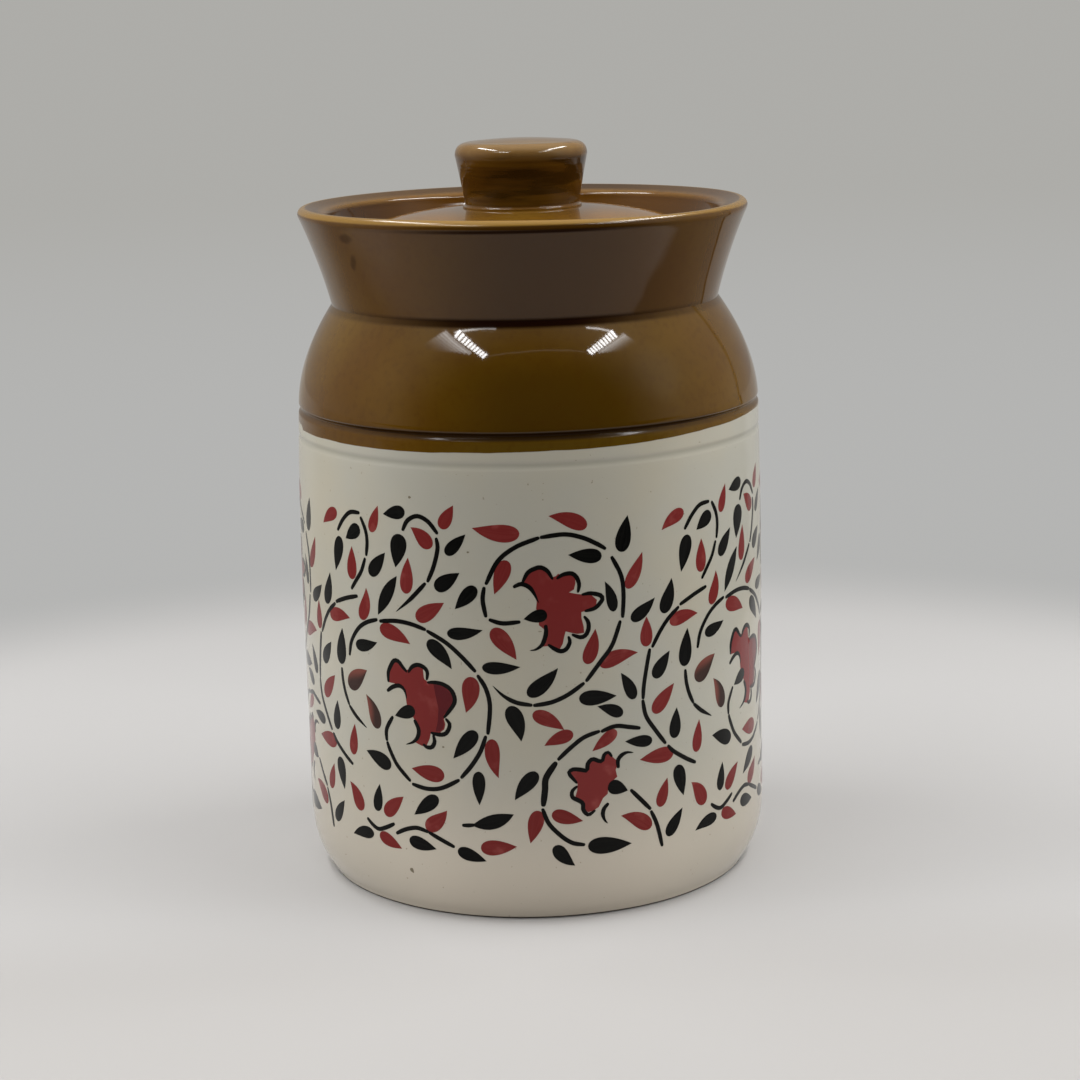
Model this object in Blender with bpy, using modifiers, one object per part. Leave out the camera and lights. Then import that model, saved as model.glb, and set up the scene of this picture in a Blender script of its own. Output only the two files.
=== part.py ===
"""Two-tone stoneware storage jar with a recessed lid, as four fired-clay sections.

The jar stands on z = 0 with its axis on Z. The shoulder section is lapped onto the base
in the upper turned groove. The lid drops into the gallery inside the flared collar and
lifts straight up. Lengths are in metres.
"""

import math

import bpy

MM = 0.001

# How finely everything is turned
SEGMENTS = 48
CURVE_STEPS = 5
SHORT_STEPS = 3
MERGE_DISTANCE = 0.01 * MM
SHARP_ANGLE = math.radians(35.0)

# Gap between pieces that rest on or in each other
SEAT_GAP = 0.3 * MM

# Body wall and floor
BODY_RADIUS = 74.9 * MM
WALL = 6.5 * MM
FLOOR = 8.0 * MM
FLOOR_FILLET = 12.0 * MM

# Rounded bottom corner and the ring that the jar stands on
CORNER_HEIGHT = 23.0 * MM
CORNER_INSET = 6.5 * MM
CORNER_POWER = 2.3
FOOT_EDGE = 1.2 * MM
FOOT_RING = 9.0 * MM
FOOT_RECESS = 2.5 * MM

# Seam between base and shoulder, with a turned groove over it and a second one below
SEAM_HEIGHT = 151.5 * MM
SEAM_INSET = 1.3 * MM
SEAM_TAPER = 51.5 * MM
SEAM_GROOVE_DEPTH = 0.9 * MM
SEAM_GROOVE_WIDTH = 3.2 * MM
BAND_HEIGHT = 8.6 * MM
BAND_GROOVE_DEPTH = 0.4 * MM
BAND_GROOVE_WIDTH = 3.4 * MM
LAP_DEPTH = 4.0 * MM
LAP_SHARE = 0.46

# Shoulder, from the seam up to the waist
SHOULDER_HEIGHT = 32.6 * MM
SHOULDER_INSET = 11.8 * MM
SHOULDER_POWER = 1.88
SHOULDER_STEPS = 8
VAULT_SHARE = 0.8
NECK_WALL = 7.2 * MM

# Flared collar and its rolled lip
COLLAR_HEIGHT = 26.4 * MM
COLLAR_FLARE = 8.8 * MM
COLLAR_BEND_SHARE = 0.32
LIP_RADIUS = 2.15 * MM
LIP_WIDTH = 9.1 * MM
LIP_OVERHANG = 0.55 * MM
LIP_SLOPE = math.radians(18.0)
LIP_UNDERCUT = math.radians(25.0)

# Gallery inside the collar, the ledge that carries the lid
GALLERY_DEPTH = 10.5 * MM
GALLERY_WIDTH = 9.5 * MM
GALLERY_THICKNESS = 5.5 * MM
GALLERY_FILLET = 1.0 * MM

# Lid
LID_CLEARANCE = 1.2 * MM
LID_RIM = 4.6 * MM
LID_EDGE = 1.6 * MM
LID_ROUND_SHARE = 0.25
DOME_RISE = 11.2 * MM
DOME_STEPS = 8
LID_THICKNESS = 7.0 * MM
FLANGE_CLEARANCE = 1.7 * MM
FLANGE_WALL = 5.0 * MM
FLANGE_DROP = 7.8 * MM
FLANGE_EDGE = 1.2 * MM

# Knob and the socket it sits in
KNOB_HEIGHT = 18.4 * MM
KNOB_RADIUS = 21.1 * MM
KNOB_NECK = 18.2 * MM
KNOB_CROWN = 0.9 * MM
KNOB_FLAT_SHARE = 0.76
KNOB_SHOULDER = 4.1 * MM
KNOB_FILLET = 2.2 * MM
KNOB_SKIRT = 0.35 * MM
TENON_RADIUS = 14.0 * MM
TENON_DEPTH = 2.0 * MM
SOCKET_CLEARANCE = 0.4 * MM

# Places that more than one piece follows
WAIST_HEIGHT = SEAM_HEIGHT + SHOULDER_HEIGHT
WAIST_RADIUS = BODY_RADIUS - SEAM_INSET - SHOULDER_INSET
GALLERY_HEIGHT = WAIST_HEIGHT + COLLAR_HEIGHT - GALLERY_DEPTH
SEAM_BORE = BODY_RADIUS - SEAM_INSET - WALL
SEAM_LAP = SEAM_BORE + WALL * LAP_SHARE
SOCKET_RADIUS = TENON_RADIUS + SOCKET_CLEARANCE


def bend(start, control, end, steps=CURVE_STEPS):
    """Points along a quadratic curve from start to end, both included."""
    points = []
    for i in range(steps + 1):
        t = i / steps
        weights = ((1 - t) ** 2, 2 * t * (1 - t), t**2)
        points.append(
            tuple(
                sum(w * p[axis] for w, p in zip(weights, (start, control, end)))
                for axis in range(2)
            )
        )
    return points


def arc(centre, radius, start_angle, end_angle, steps=CURVE_STEPS):
    """Points along an arc; angle 0 points away from the axis and a quarter turn points up."""
    points = []
    for i in range(steps + 1):
        angle = start_angle + (end_angle - start_angle) * i / steps
        points.append(
            (
                centre[0] + radius * math.cos(angle),
                centre[1] + radius * math.sin(angle),
            )
        )
    return points


def spaced(start, end, steps):
    """Evenly spaced values from start to end, both included."""
    return [start + (end - start) * i / steps for i in range(steps + 1)]


def groove(height, centre, depth, width):
    """How far a smooth turned groove cuts in at this height."""
    offset = abs(height - centre) / (width / 2)
    return depth * (1 + math.cos(math.pi * offset)) / 2 if offset < 1 else 0.0


def groove_heights(centre, width):
    """Heights from the top edge of a groove to its bottom edge."""
    return spaced(centre + width / 2, centre - width / 2, 2 * SHORT_STEPS)


def wall_radius(height):
    """Outer radius of the jar from the foot to the waist, before the grooves are cut."""
    if height < CORNER_HEIGHT:
        drop = (1 - height / CORNER_HEIGHT) ** CORNER_POWER
        return BODY_RADIUS - CORNER_INSET * drop
    taper_start = SEAM_HEIGHT - SEAM_TAPER
    if height < taper_start:
        return BODY_RADIUS
    if height < SEAM_HEIGHT:
        return BODY_RADIUS - SEAM_INSET * ((height - taper_start) / SEAM_TAPER) ** 2
    rise = (height - SEAM_HEIGHT) / SHOULDER_HEIGHT
    return WAIST_RADIUS + SHOULDER_INSET * (1 - rise**SHOULDER_POWER)


def outer_radius(height):
    """Outer radius of the jar with its two grooves."""
    return (
        wall_radius(height)
        - groove(height, SEAM_HEIGHT, SEAM_GROOVE_DEPTH, SEAM_GROOVE_WIDTH)
        - groove(
            height, SEAM_HEIGHT - BAND_HEIGHT, BAND_GROOVE_DEPTH, BAND_GROOVE_WIDTH
        )
    )


def lip_centres():
    """Centres of the lip's outer and inner rounding, above the waist."""
    outer = (
        WAIST_RADIUS
        + COLLAR_FLARE
        + LIP_OVERHANG
        - LIP_RADIUS * math.cos(LIP_UNDERCUT),
        COLLAR_HEIGHT + LIP_RADIUS,
    )
    run = LIP_WIDTH - 2 * LIP_RADIUS
    inner = (outer[0] - run, outer[1] - run * math.tan(LIP_SLOPE))
    return outer, inner


def gallery_radius():
    """Radius of the collar's bore where it meets the gallery."""
    inner = lip_centres()[1]
    depth = inner[1] - COLLAR_HEIGHT + GALLERY_DEPTH
    return inner[0] - LIP_RADIUS - depth * COLLAR_FLARE / COLLAR_HEIGHT


def dome_height(radius):
    """Height of the lid's top above the gallery at this distance from the axis."""
    share = radius / (gallery_radius() - LID_CLEARANCE)
    return SEAT_GAP + LID_RIM + DOME_RISE * (1 - share**2)


def base_outline():
    """Half section of the jar's base: floor, wall, seam rebate, grooves and recessed foot."""
    bore = BODY_RADIUS - WALL
    taper_start = SEAM_HEIGHT - SEAM_TAPER
    inside = [(0.0, FLOOR)]
    inside += bend(
        (bore - FLOOR_FILLET, FLOOR), (bore, FLOOR), (bore, FLOOR + FLOOR_FILLET)
    )
    rebate = SEAM_HEIGHT - LAP_DEPTH
    inside += [
        (bore, taper_start),
        (SEAM_BORE, rebate),
        (SEAM_LAP, rebate),
        (SEAM_LAP, SEAM_HEIGHT),
    ]
    heights = [
        h for h in groove_heights(SEAM_HEIGHT, SEAM_GROOVE_WIDTH) if h <= SEAM_HEIGHT
    ]
    heights += groove_heights(SEAM_HEIGHT - BAND_HEIGHT, BAND_GROOVE_WIDTH)
    heights += spaced(heights[-1], taper_start, SHORT_STEPS)[1:]
    heights += spaced(CORNER_HEIGHT, FOOT_EDGE, CURVE_STEPS)
    outside = [(outer_radius(h), h) for h in heights]
    corner = outside[-1][0]
    foot_outer = corner - FOOT_EDGE
    foot_inner = foot_outer - FOOT_RING
    foot = bend((corner, FOOT_EDGE), (corner, 0.0), (foot_outer, 0.0), SHORT_STEPS)
    foot += [
        (foot_inner, 0.0),
        (foot_inner - FOOT_RECESS, FOOT_RECESS),
        (0.0, FOOT_RECESS),
    ]
    return inside + outside + foot[1:]


def collar_outline():
    """Half section of the shoulder, gallery and flared collar, measured up from the seam."""
    lip_outer, lip_inner = [
        (radius, SHOULDER_HEIGHT + height) for radius, height in lip_centres()
    ]
    gallery = GALLERY_HEIGHT - SEAM_HEIGHT
    ledge_outer = gallery_radius()
    mouth = ledge_outer - GALLERY_WIDTH
    ledge_bottom = gallery - GALLERY_THICKNESS
    inside = [(SEAM_BORE, SEAT_GAP - LAP_DEPTH)]
    inside += [
        (wall_radius(SEAM_HEIGHT + h) - WALL, h)
        for h in spaced(0.0, SHOULDER_HEIGHT * VAULT_SHARE, CURVE_STEPS)
    ]
    inside += [
        (WAIST_RADIUS - NECK_WALL, SHOULDER_HEIGHT),
        (mouth + GALLERY_FILLET, ledge_bottom),
        (mouth, ledge_bottom + GALLERY_FILLET),
    ]
    nose = (mouth + GALLERY_FILLET, gallery - GALLERY_FILLET)
    inside += arc(nose, GALLERY_FILLET, math.pi, math.pi / 2, SHORT_STEPS)
    inside += bend(
        (ledge_outer - GALLERY_FILLET, gallery),
        (ledge_outer, gallery),
        (ledge_outer, gallery + GALLERY_FILLET),
        SHORT_STEPS,
    )
    crest = math.pi / 2 + LIP_SLOPE
    lip = arc(lip_inner, LIP_RADIUS, math.pi, crest, SHORT_STEPS)
    lip += arc(lip_outer, LIP_RADIUS, crest, -LIP_UNDERCUT)
    collar = bend(
        (WAIST_RADIUS + COLLAR_FLARE, SHOULDER_HEIGHT + COLLAR_HEIGHT),
        (
            WAIST_RADIUS + COLLAR_FLARE * COLLAR_BEND_SHARE,
            SHOULDER_HEIGHT + COLLAR_HEIGHT / 2,
        ),
        (WAIST_RADIUS, SHOULDER_HEIGHT),
    )
    heights = spaced(WAIST_HEIGHT, SEAM_HEIGHT + SEAM_GROOVE_WIDTH, SHOULDER_STEPS)[1:]
    heights += [
        h
        for h in groove_heights(SEAM_HEIGHT, SEAM_GROOVE_WIDTH)
        if h > SEAM_HEIGHT + SEAT_GAP
    ]
    heights.append(SEAM_HEIGHT + SEAT_GAP)
    shoulder = [(outer_radius(h), h - SEAM_HEIGHT) for h in heights]
    lap_radius = SEAM_LAP - SEAT_GAP
    lap = [(lap_radius, SEAT_GAP), (lap_radius, SEAT_GAP - LAP_DEPTH)]
    return inside + lip + collar + shoulder + lap


def lid_outline():
    """Half section of the lid: dome with a knob socket, rounded edge and locating flange."""
    lid_radius = gallery_radius() - LID_CLEARANCE
    flange_outer = gallery_radius() - GALLERY_WIDTH - FLANGE_CLEARANCE
    flange_inner = flange_outer - FLANGE_WALL
    socket_floor = dome_height(SOCKET_RADIUS) - TENON_DEPTH
    top_radius = lid_radius - LID_EDGE
    edge_top = dome_height(top_radius)
    socket = [(0.0, socket_floor), (SOCKET_RADIUS, socket_floor)]
    dome = [(r, dome_height(r)) for r in spaced(SOCKET_RADIUS, top_radius, DOME_STEPS)]
    edge = bend(
        (top_radius, edge_top),
        (lid_radius, edge_top - LID_EDGE * LID_ROUND_SHARE),
        (lid_radius, edge_top - LID_EDGE),
        SHORT_STEPS,
    )
    flange = [
        (lid_radius, SEAT_GAP + LID_EDGE / 2),
        (lid_radius - LID_EDGE / 2, SEAT_GAP),
        (flange_outer, SEAT_GAP),
        (flange_outer, FLANGE_EDGE - FLANGE_DROP),
        (flange_outer - FLANGE_EDGE, -FLANGE_DROP),
        (flange_inner + FLANGE_EDGE, -FLANGE_DROP),
        (flange_inner, FLANGE_EDGE - FLANGE_DROP),
    ]
    underside = [
        (r, dome_height(r) - LID_THICKNESS)
        for r in spaced(flange_inner, 0.0, SHORT_STEPS)
    ]
    return socket + dome + edge[1:] + flange + underside


def knob_outline():
    """Half section of the knob with its tenon, measured up from the crown of the dome."""
    crown = dome_height(0.0)
    flat = KNOB_RADIUS * KNOB_FLAT_SHARE
    flat_height = KNOB_HEIGHT - KNOB_CROWN
    top = [
        (r, KNOB_HEIGHT - KNOB_CROWN * (r / flat) ** 2)
        for r in spaced(0.0, flat, SHORT_STEPS)
    ]
    edge = bend(
        (flat, flat_height),
        (KNOB_RADIUS, flat_height),
        (KNOB_RADIUS, flat_height - KNOB_SHOULDER),
    )
    skirt_radius = KNOB_NECK + KNOB_FILLET
    skirt_bottom = dome_height(skirt_radius) + SEAT_GAP - crown
    skirt_top = skirt_bottom + KNOB_SKIRT
    fillet = bend(
        (KNOB_NECK, skirt_top + KNOB_FILLET),
        (KNOB_NECK, skirt_top),
        (skirt_radius, skirt_top),
        SHORT_STEPS,
    )
    tenon_bottom = dome_height(SOCKET_RADIUS) - TENON_DEPTH + SEAT_GAP - crown
    foot = [
        (skirt_radius, skirt_bottom),
        (TENON_RADIUS, dome_height(TENON_RADIUS) + SEAT_GAP - crown),
        (TENON_RADIUS, tenon_bottom),
        (0.0, tenon_bottom),
    ]
    return top + edge[1:] + fillet + foot


def glaze(name, colour, roughness):
    """A glazed stoneware finish."""
    material = bpy.data.materials.new(name)
    material.use_nodes = True
    shader = material.node_tree.nodes["Principled BSDF"]
    shader.inputs["Base Color"].default_value = (*colour, 1.0)
    shader.inputs["Roughness"].default_value = roughness
    shader.inputs["Metallic"].default_value = 0.0
    material.diffuse_color = (*colour, 1.0)
    return material


def turned(name, outline, height, material, collection):
    """A solid of revolution: the outline screwed round Z, set at this height."""
    edges = [(i, i + 1) for i in range(len(outline) - 1)]
    if outline[0][0] > 0.0:
        edges.append((len(outline) - 1, 0))
    profile = bpy.data.meshes.new(name + "_outline")
    profile.from_pydata([(radius, 0.0, z) for radius, z in outline], edges, [])
    piece = bpy.data.objects.new(name, profile)
    piece.location.z = height
    collection.objects.link(piece)
    screw = piece.modifiers.new("turn", "SCREW")
    screw.axis = "Z"
    screw.angle = 2 * math.pi
    screw.steps = SEGMENTS
    screw.render_steps = SEGMENTS
    screw.use_merge_vertices = True
    screw.merge_threshold = MERGE_DISTANCE

    # The turned mesh is kept, so that its hard edges can be marked sharp.
    evaluated = piece.evaluated_get(bpy.context.evaluated_depsgraph_get())
    piece.data = bpy.data.meshes.new_from_object(evaluated)
    piece.data.name = name
    piece.modifiers.clear()
    bpy.data.meshes.remove(profile)
    piece.data.materials.clear()
    piece.data.materials.append(material)
    piece.data.shade_smooth()
    piece.data.set_sharp_from_angle(angle=SHARP_ANGLE)
    return piece


def main():
    for thing in list(bpy.data.objects):
        bpy.data.objects.remove(thing)
    jar = bpy.data.collections.new("lidded_jar")
    bpy.context.scene.collection.children.link(jar)

    cream = glaze("cream_glaze", (0.62, 0.60, 0.53), 0.35)
    brown = glaze("brown_glaze", (0.16, 0.075, 0.016), 0.12)
    lid_brown = glaze("lid_glaze", (0.18, 0.085, 0.02), 0.12)
    knob_brown = glaze("knob_glaze", (0.15, 0.07, 0.015), 0.14)

    turned("jar_base", base_outline(), 0.0, cream, jar)
    turned("shoulder_collar", collar_outline(), SEAM_HEIGHT, brown, jar)

    # The lid and its knob hang from one empty on the axis that they lift along.
    lift = bpy.data.objects.new("lid_lift", None)
    lift.location.z = GALLERY_HEIGHT
    jar.objects.link(lift)
    turned("lid_disc", lid_outline(), 0.0, lid_brown, jar).parent = lift
    turned("lid_knob", knob_outline(), dome_height(0.0), knob_brown, jar).parent = lift


main()
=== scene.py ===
"""A two-tone stoneware jar with a painted vine, photographed in a small light tent.

Glazed skins, turned more finely than the frame's sections, stand for the four sections of
the jar and its lid. The vine is painted on the white wall as thin films that follow it.
Sizes and places are in metres, and in millimetres only in the tables and strokes of the painting.
"""
import math
import random
from functools import partial

import bmesh
import bpy
from mathutils import Matrix, Vector, noise


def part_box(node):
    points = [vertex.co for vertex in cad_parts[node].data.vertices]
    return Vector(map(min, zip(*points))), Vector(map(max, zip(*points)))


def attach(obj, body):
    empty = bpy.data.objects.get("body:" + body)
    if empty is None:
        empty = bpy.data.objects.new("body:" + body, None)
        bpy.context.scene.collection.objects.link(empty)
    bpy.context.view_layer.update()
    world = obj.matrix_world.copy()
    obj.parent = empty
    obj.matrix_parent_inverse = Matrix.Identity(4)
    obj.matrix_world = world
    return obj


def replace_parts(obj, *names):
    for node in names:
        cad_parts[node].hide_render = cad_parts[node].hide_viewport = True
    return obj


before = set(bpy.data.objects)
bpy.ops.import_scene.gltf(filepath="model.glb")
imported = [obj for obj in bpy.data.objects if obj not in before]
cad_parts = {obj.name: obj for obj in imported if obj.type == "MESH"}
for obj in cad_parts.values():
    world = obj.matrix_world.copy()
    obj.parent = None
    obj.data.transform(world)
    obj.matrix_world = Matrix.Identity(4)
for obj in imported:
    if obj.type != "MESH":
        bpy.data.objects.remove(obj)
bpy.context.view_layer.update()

MM = 0.001

# How finely the skins are turned
SEGMENTS = 256
MANY = 14
FEW = 8
SHARP_ANGLE = math.radians(40.0)

# Main places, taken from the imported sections
BASE_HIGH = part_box("jar_base")[1]
COLLAR_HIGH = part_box("shoulder_collar")[1]
LID_LOW, LID_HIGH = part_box("lid_disc")
KNOB_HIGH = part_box("lid_knob")[1]
BODY_RADIUS = BASE_HIGH.x
SEAM = BASE_HIGH.z
LID_RADIUS = LID_HIGH.x
KNOB_RADIUS = KNOB_HIGH.x
RIM = COLLAR_HIGH.z

# Body wall, floor and foot
WALL = 6.5 * MM
FLOOR = 8.0 * MM
FLOOR_FILLET = 12.0 * MM
CORNER_HEIGHT = 23.0 * MM
CORNER_INSET = 6.5 * MM
CORNER_POWER = 2.9
FOOT_EDGE = 0.8 * MM
FOOT_RING = 9.0 * MM
FOOT_RECESS = 2.5 * MM

# Seam, grooves and shoulder
SEAM_INSET = 1.3 * MM
SEAM_TAPER = 51.5 * MM
SEAM_GROOVE_DEPTH = 0.9 * MM
SEAM_GROOVE_WIDTH = 3.2 * MM
BAND_DROP = 8.6 * MM
BAND_GROOVE_DEPTH = 0.3 * MM
BAND_GROOVE_WIDTH = 3.4 * MM
SEAM_CLOSE = 0.02 * MM
SHOULDER_HEIGHT = 32.6 * MM
SHOULDER_INSET = 11.8 * MM
SHOULDER_POWER = 1.88
VAULT_SHARE = 0.8
NECK_WALL = 7.2 * MM

# Collar, lip and gallery
COLLAR_HEIGHT = 26.4 * MM
COLLAR_FLARE = 8.8 * MM
COLLAR_BEND_SHARE = 0.38
LIP_RADIUS = 2.15 * MM
LIP_WIDTH = 9.1 * MM
LIP_OVERHANG = 0.55 * MM
LIP_SLOPE = math.radians(18.0)
LIP_UNDERCUT = math.radians(25.0)
GALLERY_DEPTH = 10.5 * MM
GALLERY_WIDTH = 9.5 * MM
GALLERY_THICKNESS = 5.5 * MM
GALLERY_FILLET = 1.0 * MM

# Lid and knob
SEAT_GAP = 0.3 * MM
LID_RIM = 4.6 * MM
LID_EDGE = 1.6 * MM
LID_ROUND_SHARE = 0.25
DOME_RISE = 11.2 * MM
DOME_DIP = 2.7 * MM
DOME_POWER = 3.0
LID_THICKNESS = 7.0 * MM
FLANGE_CLEARANCE = 1.7 * MM
FLANGE_WALL = 5.0 * MM
FLANGE_EDGE = 1.2 * MM
KNOB_NECK = 18.2 * MM
KNOB_CROWN = 0.9 * MM
KNOB_FLAT_SHARE = 0.76
KNOB_SHOULDER = 4.1 * MM
KNOB_FILLET = 0.8 * MM
KNOB_SKIRT = 0.35 * MM
KNOB_BEAD = 0.4 * MM
KNOB_GAP = SEAT_GAP / 10

# Unevenness left by the potter's hand
WOBBLE = 0.14 * MM
WOBBLE_SPAN = 34.0 * MM
RIPPLE = 0.03 * MM
RIPPLE_SPAN = 9.0 * MM
SHRINKAGE = 0.14 * MM
SETTLED_RADIUS = 10.0 * MM
LIP_SAG = 0.8 * MM
LIP_SAG_ANGLE = math.radians(42.0)
LIP_SAG_POWER = 4
RIGHT_FULLNESS = 0.85 * MM

# Paint films: how far each stands out of the glaze, and how deep it is keyed in
RED_FILM = 0.02 * MM
WASH_FILM = 0.029 * MM
BLACK_FILM = 0.032 * MM
FILM_DEPTH = 0.10 * MM

WAIST = SEAM + SHOULDER_HEIGHT
WAIST_RADIUS = BODY_RADIUS - SEAM_INSET - SHOULDER_INSET
FLARE_TOP = WAIST + COLLAR_HEIGHT
GALLERY = FLARE_TOP - GALLERY_DEPTH
LID_SEAT = GALLERY + SEAT_GAP
DOME_TOP = LID_SEAT + LID_RIM + DOME_RISE
BAND = SEAM - BAND_DROP
TAPER_START = SEAM - SEAM_TAPER


# Outlines: (distance from the axis, height), up the inside and down the outside

def spaced(start, end, steps):
    """Evenly spaced values from start to end, both included."""
    return [start + (end - start) * i / steps for i in range(steps + 1)]


def between(start, end, steps=FEW):
    """Evenly spaced points between two points, without the two."""
    return [tuple(a + (b - a) * t for a, b in zip(start, end)) for t in spaced(0.0, 1.0, steps)[1:-1]]


def bend(start, control, end, steps=MANY):
    """Points along a quadratic curve from start to end, both included."""
    points = []
    for t in spaced(0.0, 1.0, steps):
        weights = ((1 - t) ** 2, 2 * t * (1 - t), t**2)
        points.append(tuple(sum(w * v for w, v in zip(weights, axis)) for axis in zip(start, control, end)))
    return points


def corner(place, before, after, steps=FEW):
    """A rounded corner; before and after say how far from its place it starts and ends."""
    start, end = (tuple(p + d for p, d in zip(place, way)) for way in (before, after))
    return bend(start, place, end, steps)


def arc(centre, radius, start_angle, end_angle, steps=MANY):
    """Points along an arc; angle 0 points away from the axis and a quarter turn points up."""
    angles = spaced(start_angle, end_angle, steps)
    return [(centre[0] + radius * math.cos(a), centre[1] + radius * math.sin(a)) for a in angles]


def groove(height, centre, depth, width):
    """How deep a turned groove is at this height."""
    offset = abs(height - centre) / (width / 2)
    return depth * (1 + math.cos(math.pi * offset)) / 2 if offset < 1 else 0.0


def groove_heights(centre, width):
    """Heights down across a groove."""
    return spaced(centre + width / 2, centre - width / 2, 2 * FEW)


def wall_radius(height):
    """Outer radius of the jar from foot to waist, without its grooves."""
    if height < CORNER_HEIGHT:
        return BODY_RADIUS - CORNER_INSET * (1 - height / CORNER_HEIGHT) ** CORNER_POWER
    if height < SEAM:
        return BODY_RADIUS - SEAM_INSET * max(0.0, (height - TAPER_START) / SEAM_TAPER) ** 2
    rise = min((height - SEAM) / SHOULDER_HEIGHT, 1.0)
    return WAIST_RADIUS + SHOULDER_INSET * (1 - rise**SHOULDER_POWER)


def outer_radius(height):
    """Outer radius of the jar with its two grooves."""
    cut = groove(height, SEAM, SEAM_GROOVE_DEPTH, SEAM_GROOVE_WIDTH)
    return wall_radius(height) - cut - groove(height, BAND, BAND_GROOVE_DEPTH, BAND_GROOVE_WIDTH)


def outer_wall(heights):
    """The jar's outer outline at these heights."""
    return [(outer_radius(h), h) for h in heights]


def inner_wall(low, high):
    """The jar's inner outline from one height to another."""
    return [(wall_radius(h) - WALL, h) for h in spaced(low, high, MANY)]


def lip_centres():
    """Centres of the lip's outer and inner rounding."""
    radius = WAIST_RADIUS + COLLAR_FLARE + LIP_OVERHANG - LIP_RADIUS * math.cos(LIP_UNDERCUT)
    outer = (radius, FLARE_TOP + LIP_RADIUS)
    run = LIP_WIDTH - 2 * LIP_RADIUS
    return outer, (outer[0] - run, outer[1] - run * math.tan(LIP_SLOPE))


def gallery_radius():
    """Radius of the collar's bore where it meets the gallery."""
    inner = lip_centres()[1]
    return inner[0] - LIP_RADIUS - (inner[1] - GALLERY) * COLLAR_FLARE / COLLAR_HEIGHT


def dome_height(radius):
    """Height of the lid's top at this distance from the axis."""
    return DOME_TOP - DOME_DIP - (DOME_RISE - DOME_DIP) * (radius / LID_RADIUS) ** DOME_POWER


def dome(start, end, steps, drop=0.0):
    """The lid's top between two distances from the axis, moved down by a drop."""
    return [(r, dome_height(r) - drop) for r in spaced(start, end, steps)]


def base_outline():
    """Floor, wall, top edge under the seam, grooves and recessed foot."""
    bore = BODY_RADIUS - WALL
    inside = [(r, FLOOR) for r in spaced(0.0, bore - FLOOR_FILLET, FEW)]
    inside += corner((bore, FLOOR), (-FLOOR_FILLET, 0.0), (0.0, FLOOR_FILLET), MANY)[1:]
    inside += [(bore, h) for h in spaced(FLOOR + FLOOR_FILLET, TAPER_START, MANY)[1:]]
    inside += inner_wall(TAPER_START, SEAM)[1:]
    heights = [h for h in groove_heights(SEAM, SEAM_GROOVE_WIDTH) if h <= SEAM + SEAM_CLOSE / 2]
    heights += spaced(heights[-1], BAND + BAND_GROOVE_WIDTH / 2, FEW)[1:-1]
    heights += groove_heights(BAND, BAND_GROOVE_WIDTH)
    heights += spaced(heights[-1], CORNER_HEIGHT, 3 * MANY)[1:]
    outside = outer_wall(heights + spaced(CORNER_HEIGHT, FOOT_EDGE, MANY)[1:])
    edge = outside[-1][0]
    ring = edge - FOOT_EDGE - FOOT_RING
    recess = ring - 2 * FOOT_RECESS
    foot = corner((edge, 0.0), (0.0, FOOT_EDGE), (-FOOT_EDGE, 0.0))
    foot += bend((ring, 0.0), (ring - FOOT_RECESS / 2, FOOT_RECESS), (recess, FOOT_RECESS), FEW)
    foot += [(r, FOOT_RECESS) for r in spaced(recess, 0.0, FEW)[1:]]
    return inside + outside + foot[1:]


def collar_outline():
    """Shoulder, gallery and flared collar; it closes on itself under the seam."""
    lip_outer, lip_inner = lip_centres()
    ledge = gallery_radius()
    mouth = ledge - GALLERY_WIDTH
    bottom = GALLERY - GALLERY_THICKNESS
    fillet = GALLERY_FILLET
    seam = SEAM + SEAM_CLOSE
    inside = inner_wall(seam, SEAM + SHOULDER_HEIGHT * VAULT_SHARE)
    inside += bend(inside[-1], (WAIST_RADIUS - NECK_WALL, WAIST), (mouth + fillet, bottom))[1:]
    inside += corner((mouth, bottom), (fillet, 0.0), (0.0, fillet))[1:]
    inside += arc((mouth + fillet, GALLERY - fillet), fillet, math.pi, math.pi / 2, FEW)
    inside += corner((ledge, GALLERY), (-fillet, 0.0), (0.0, fillet))
    inside += between(inside[-1], (lip_inner[0] - LIP_RADIUS, lip_inner[1]))
    crest = math.pi / 2 + LIP_SLOPE
    lip = arc(lip_inner, LIP_RADIUS, math.pi, crest, FEW)
    lip_edge = arc(lip_outer, LIP_RADIUS, crest, -LIP_UNDERCUT)
    collar = bend(
        (WAIST_RADIUS + COLLAR_FLARE, FLARE_TOP),
        (WAIST_RADIUS + COLLAR_FLARE * COLLAR_BEND_SHARE, WAIST + COLLAR_HEIGHT / 2),
        (WAIST_RADIUS, WAIST),
        2 * MANY,
    )
    heights = spaced(WAIST, SEAM + SEAM_GROOVE_WIDTH / 2, 2 * MANY)[1:-1]
    heights += [h for h in groove_heights(SEAM, SEAM_GROOVE_WIDTH) if h > seam]
    return inside + lip + between(lip[-1], lip_edge[0]) + lip_edge + collar + outer_wall(heights + [seam])


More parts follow.
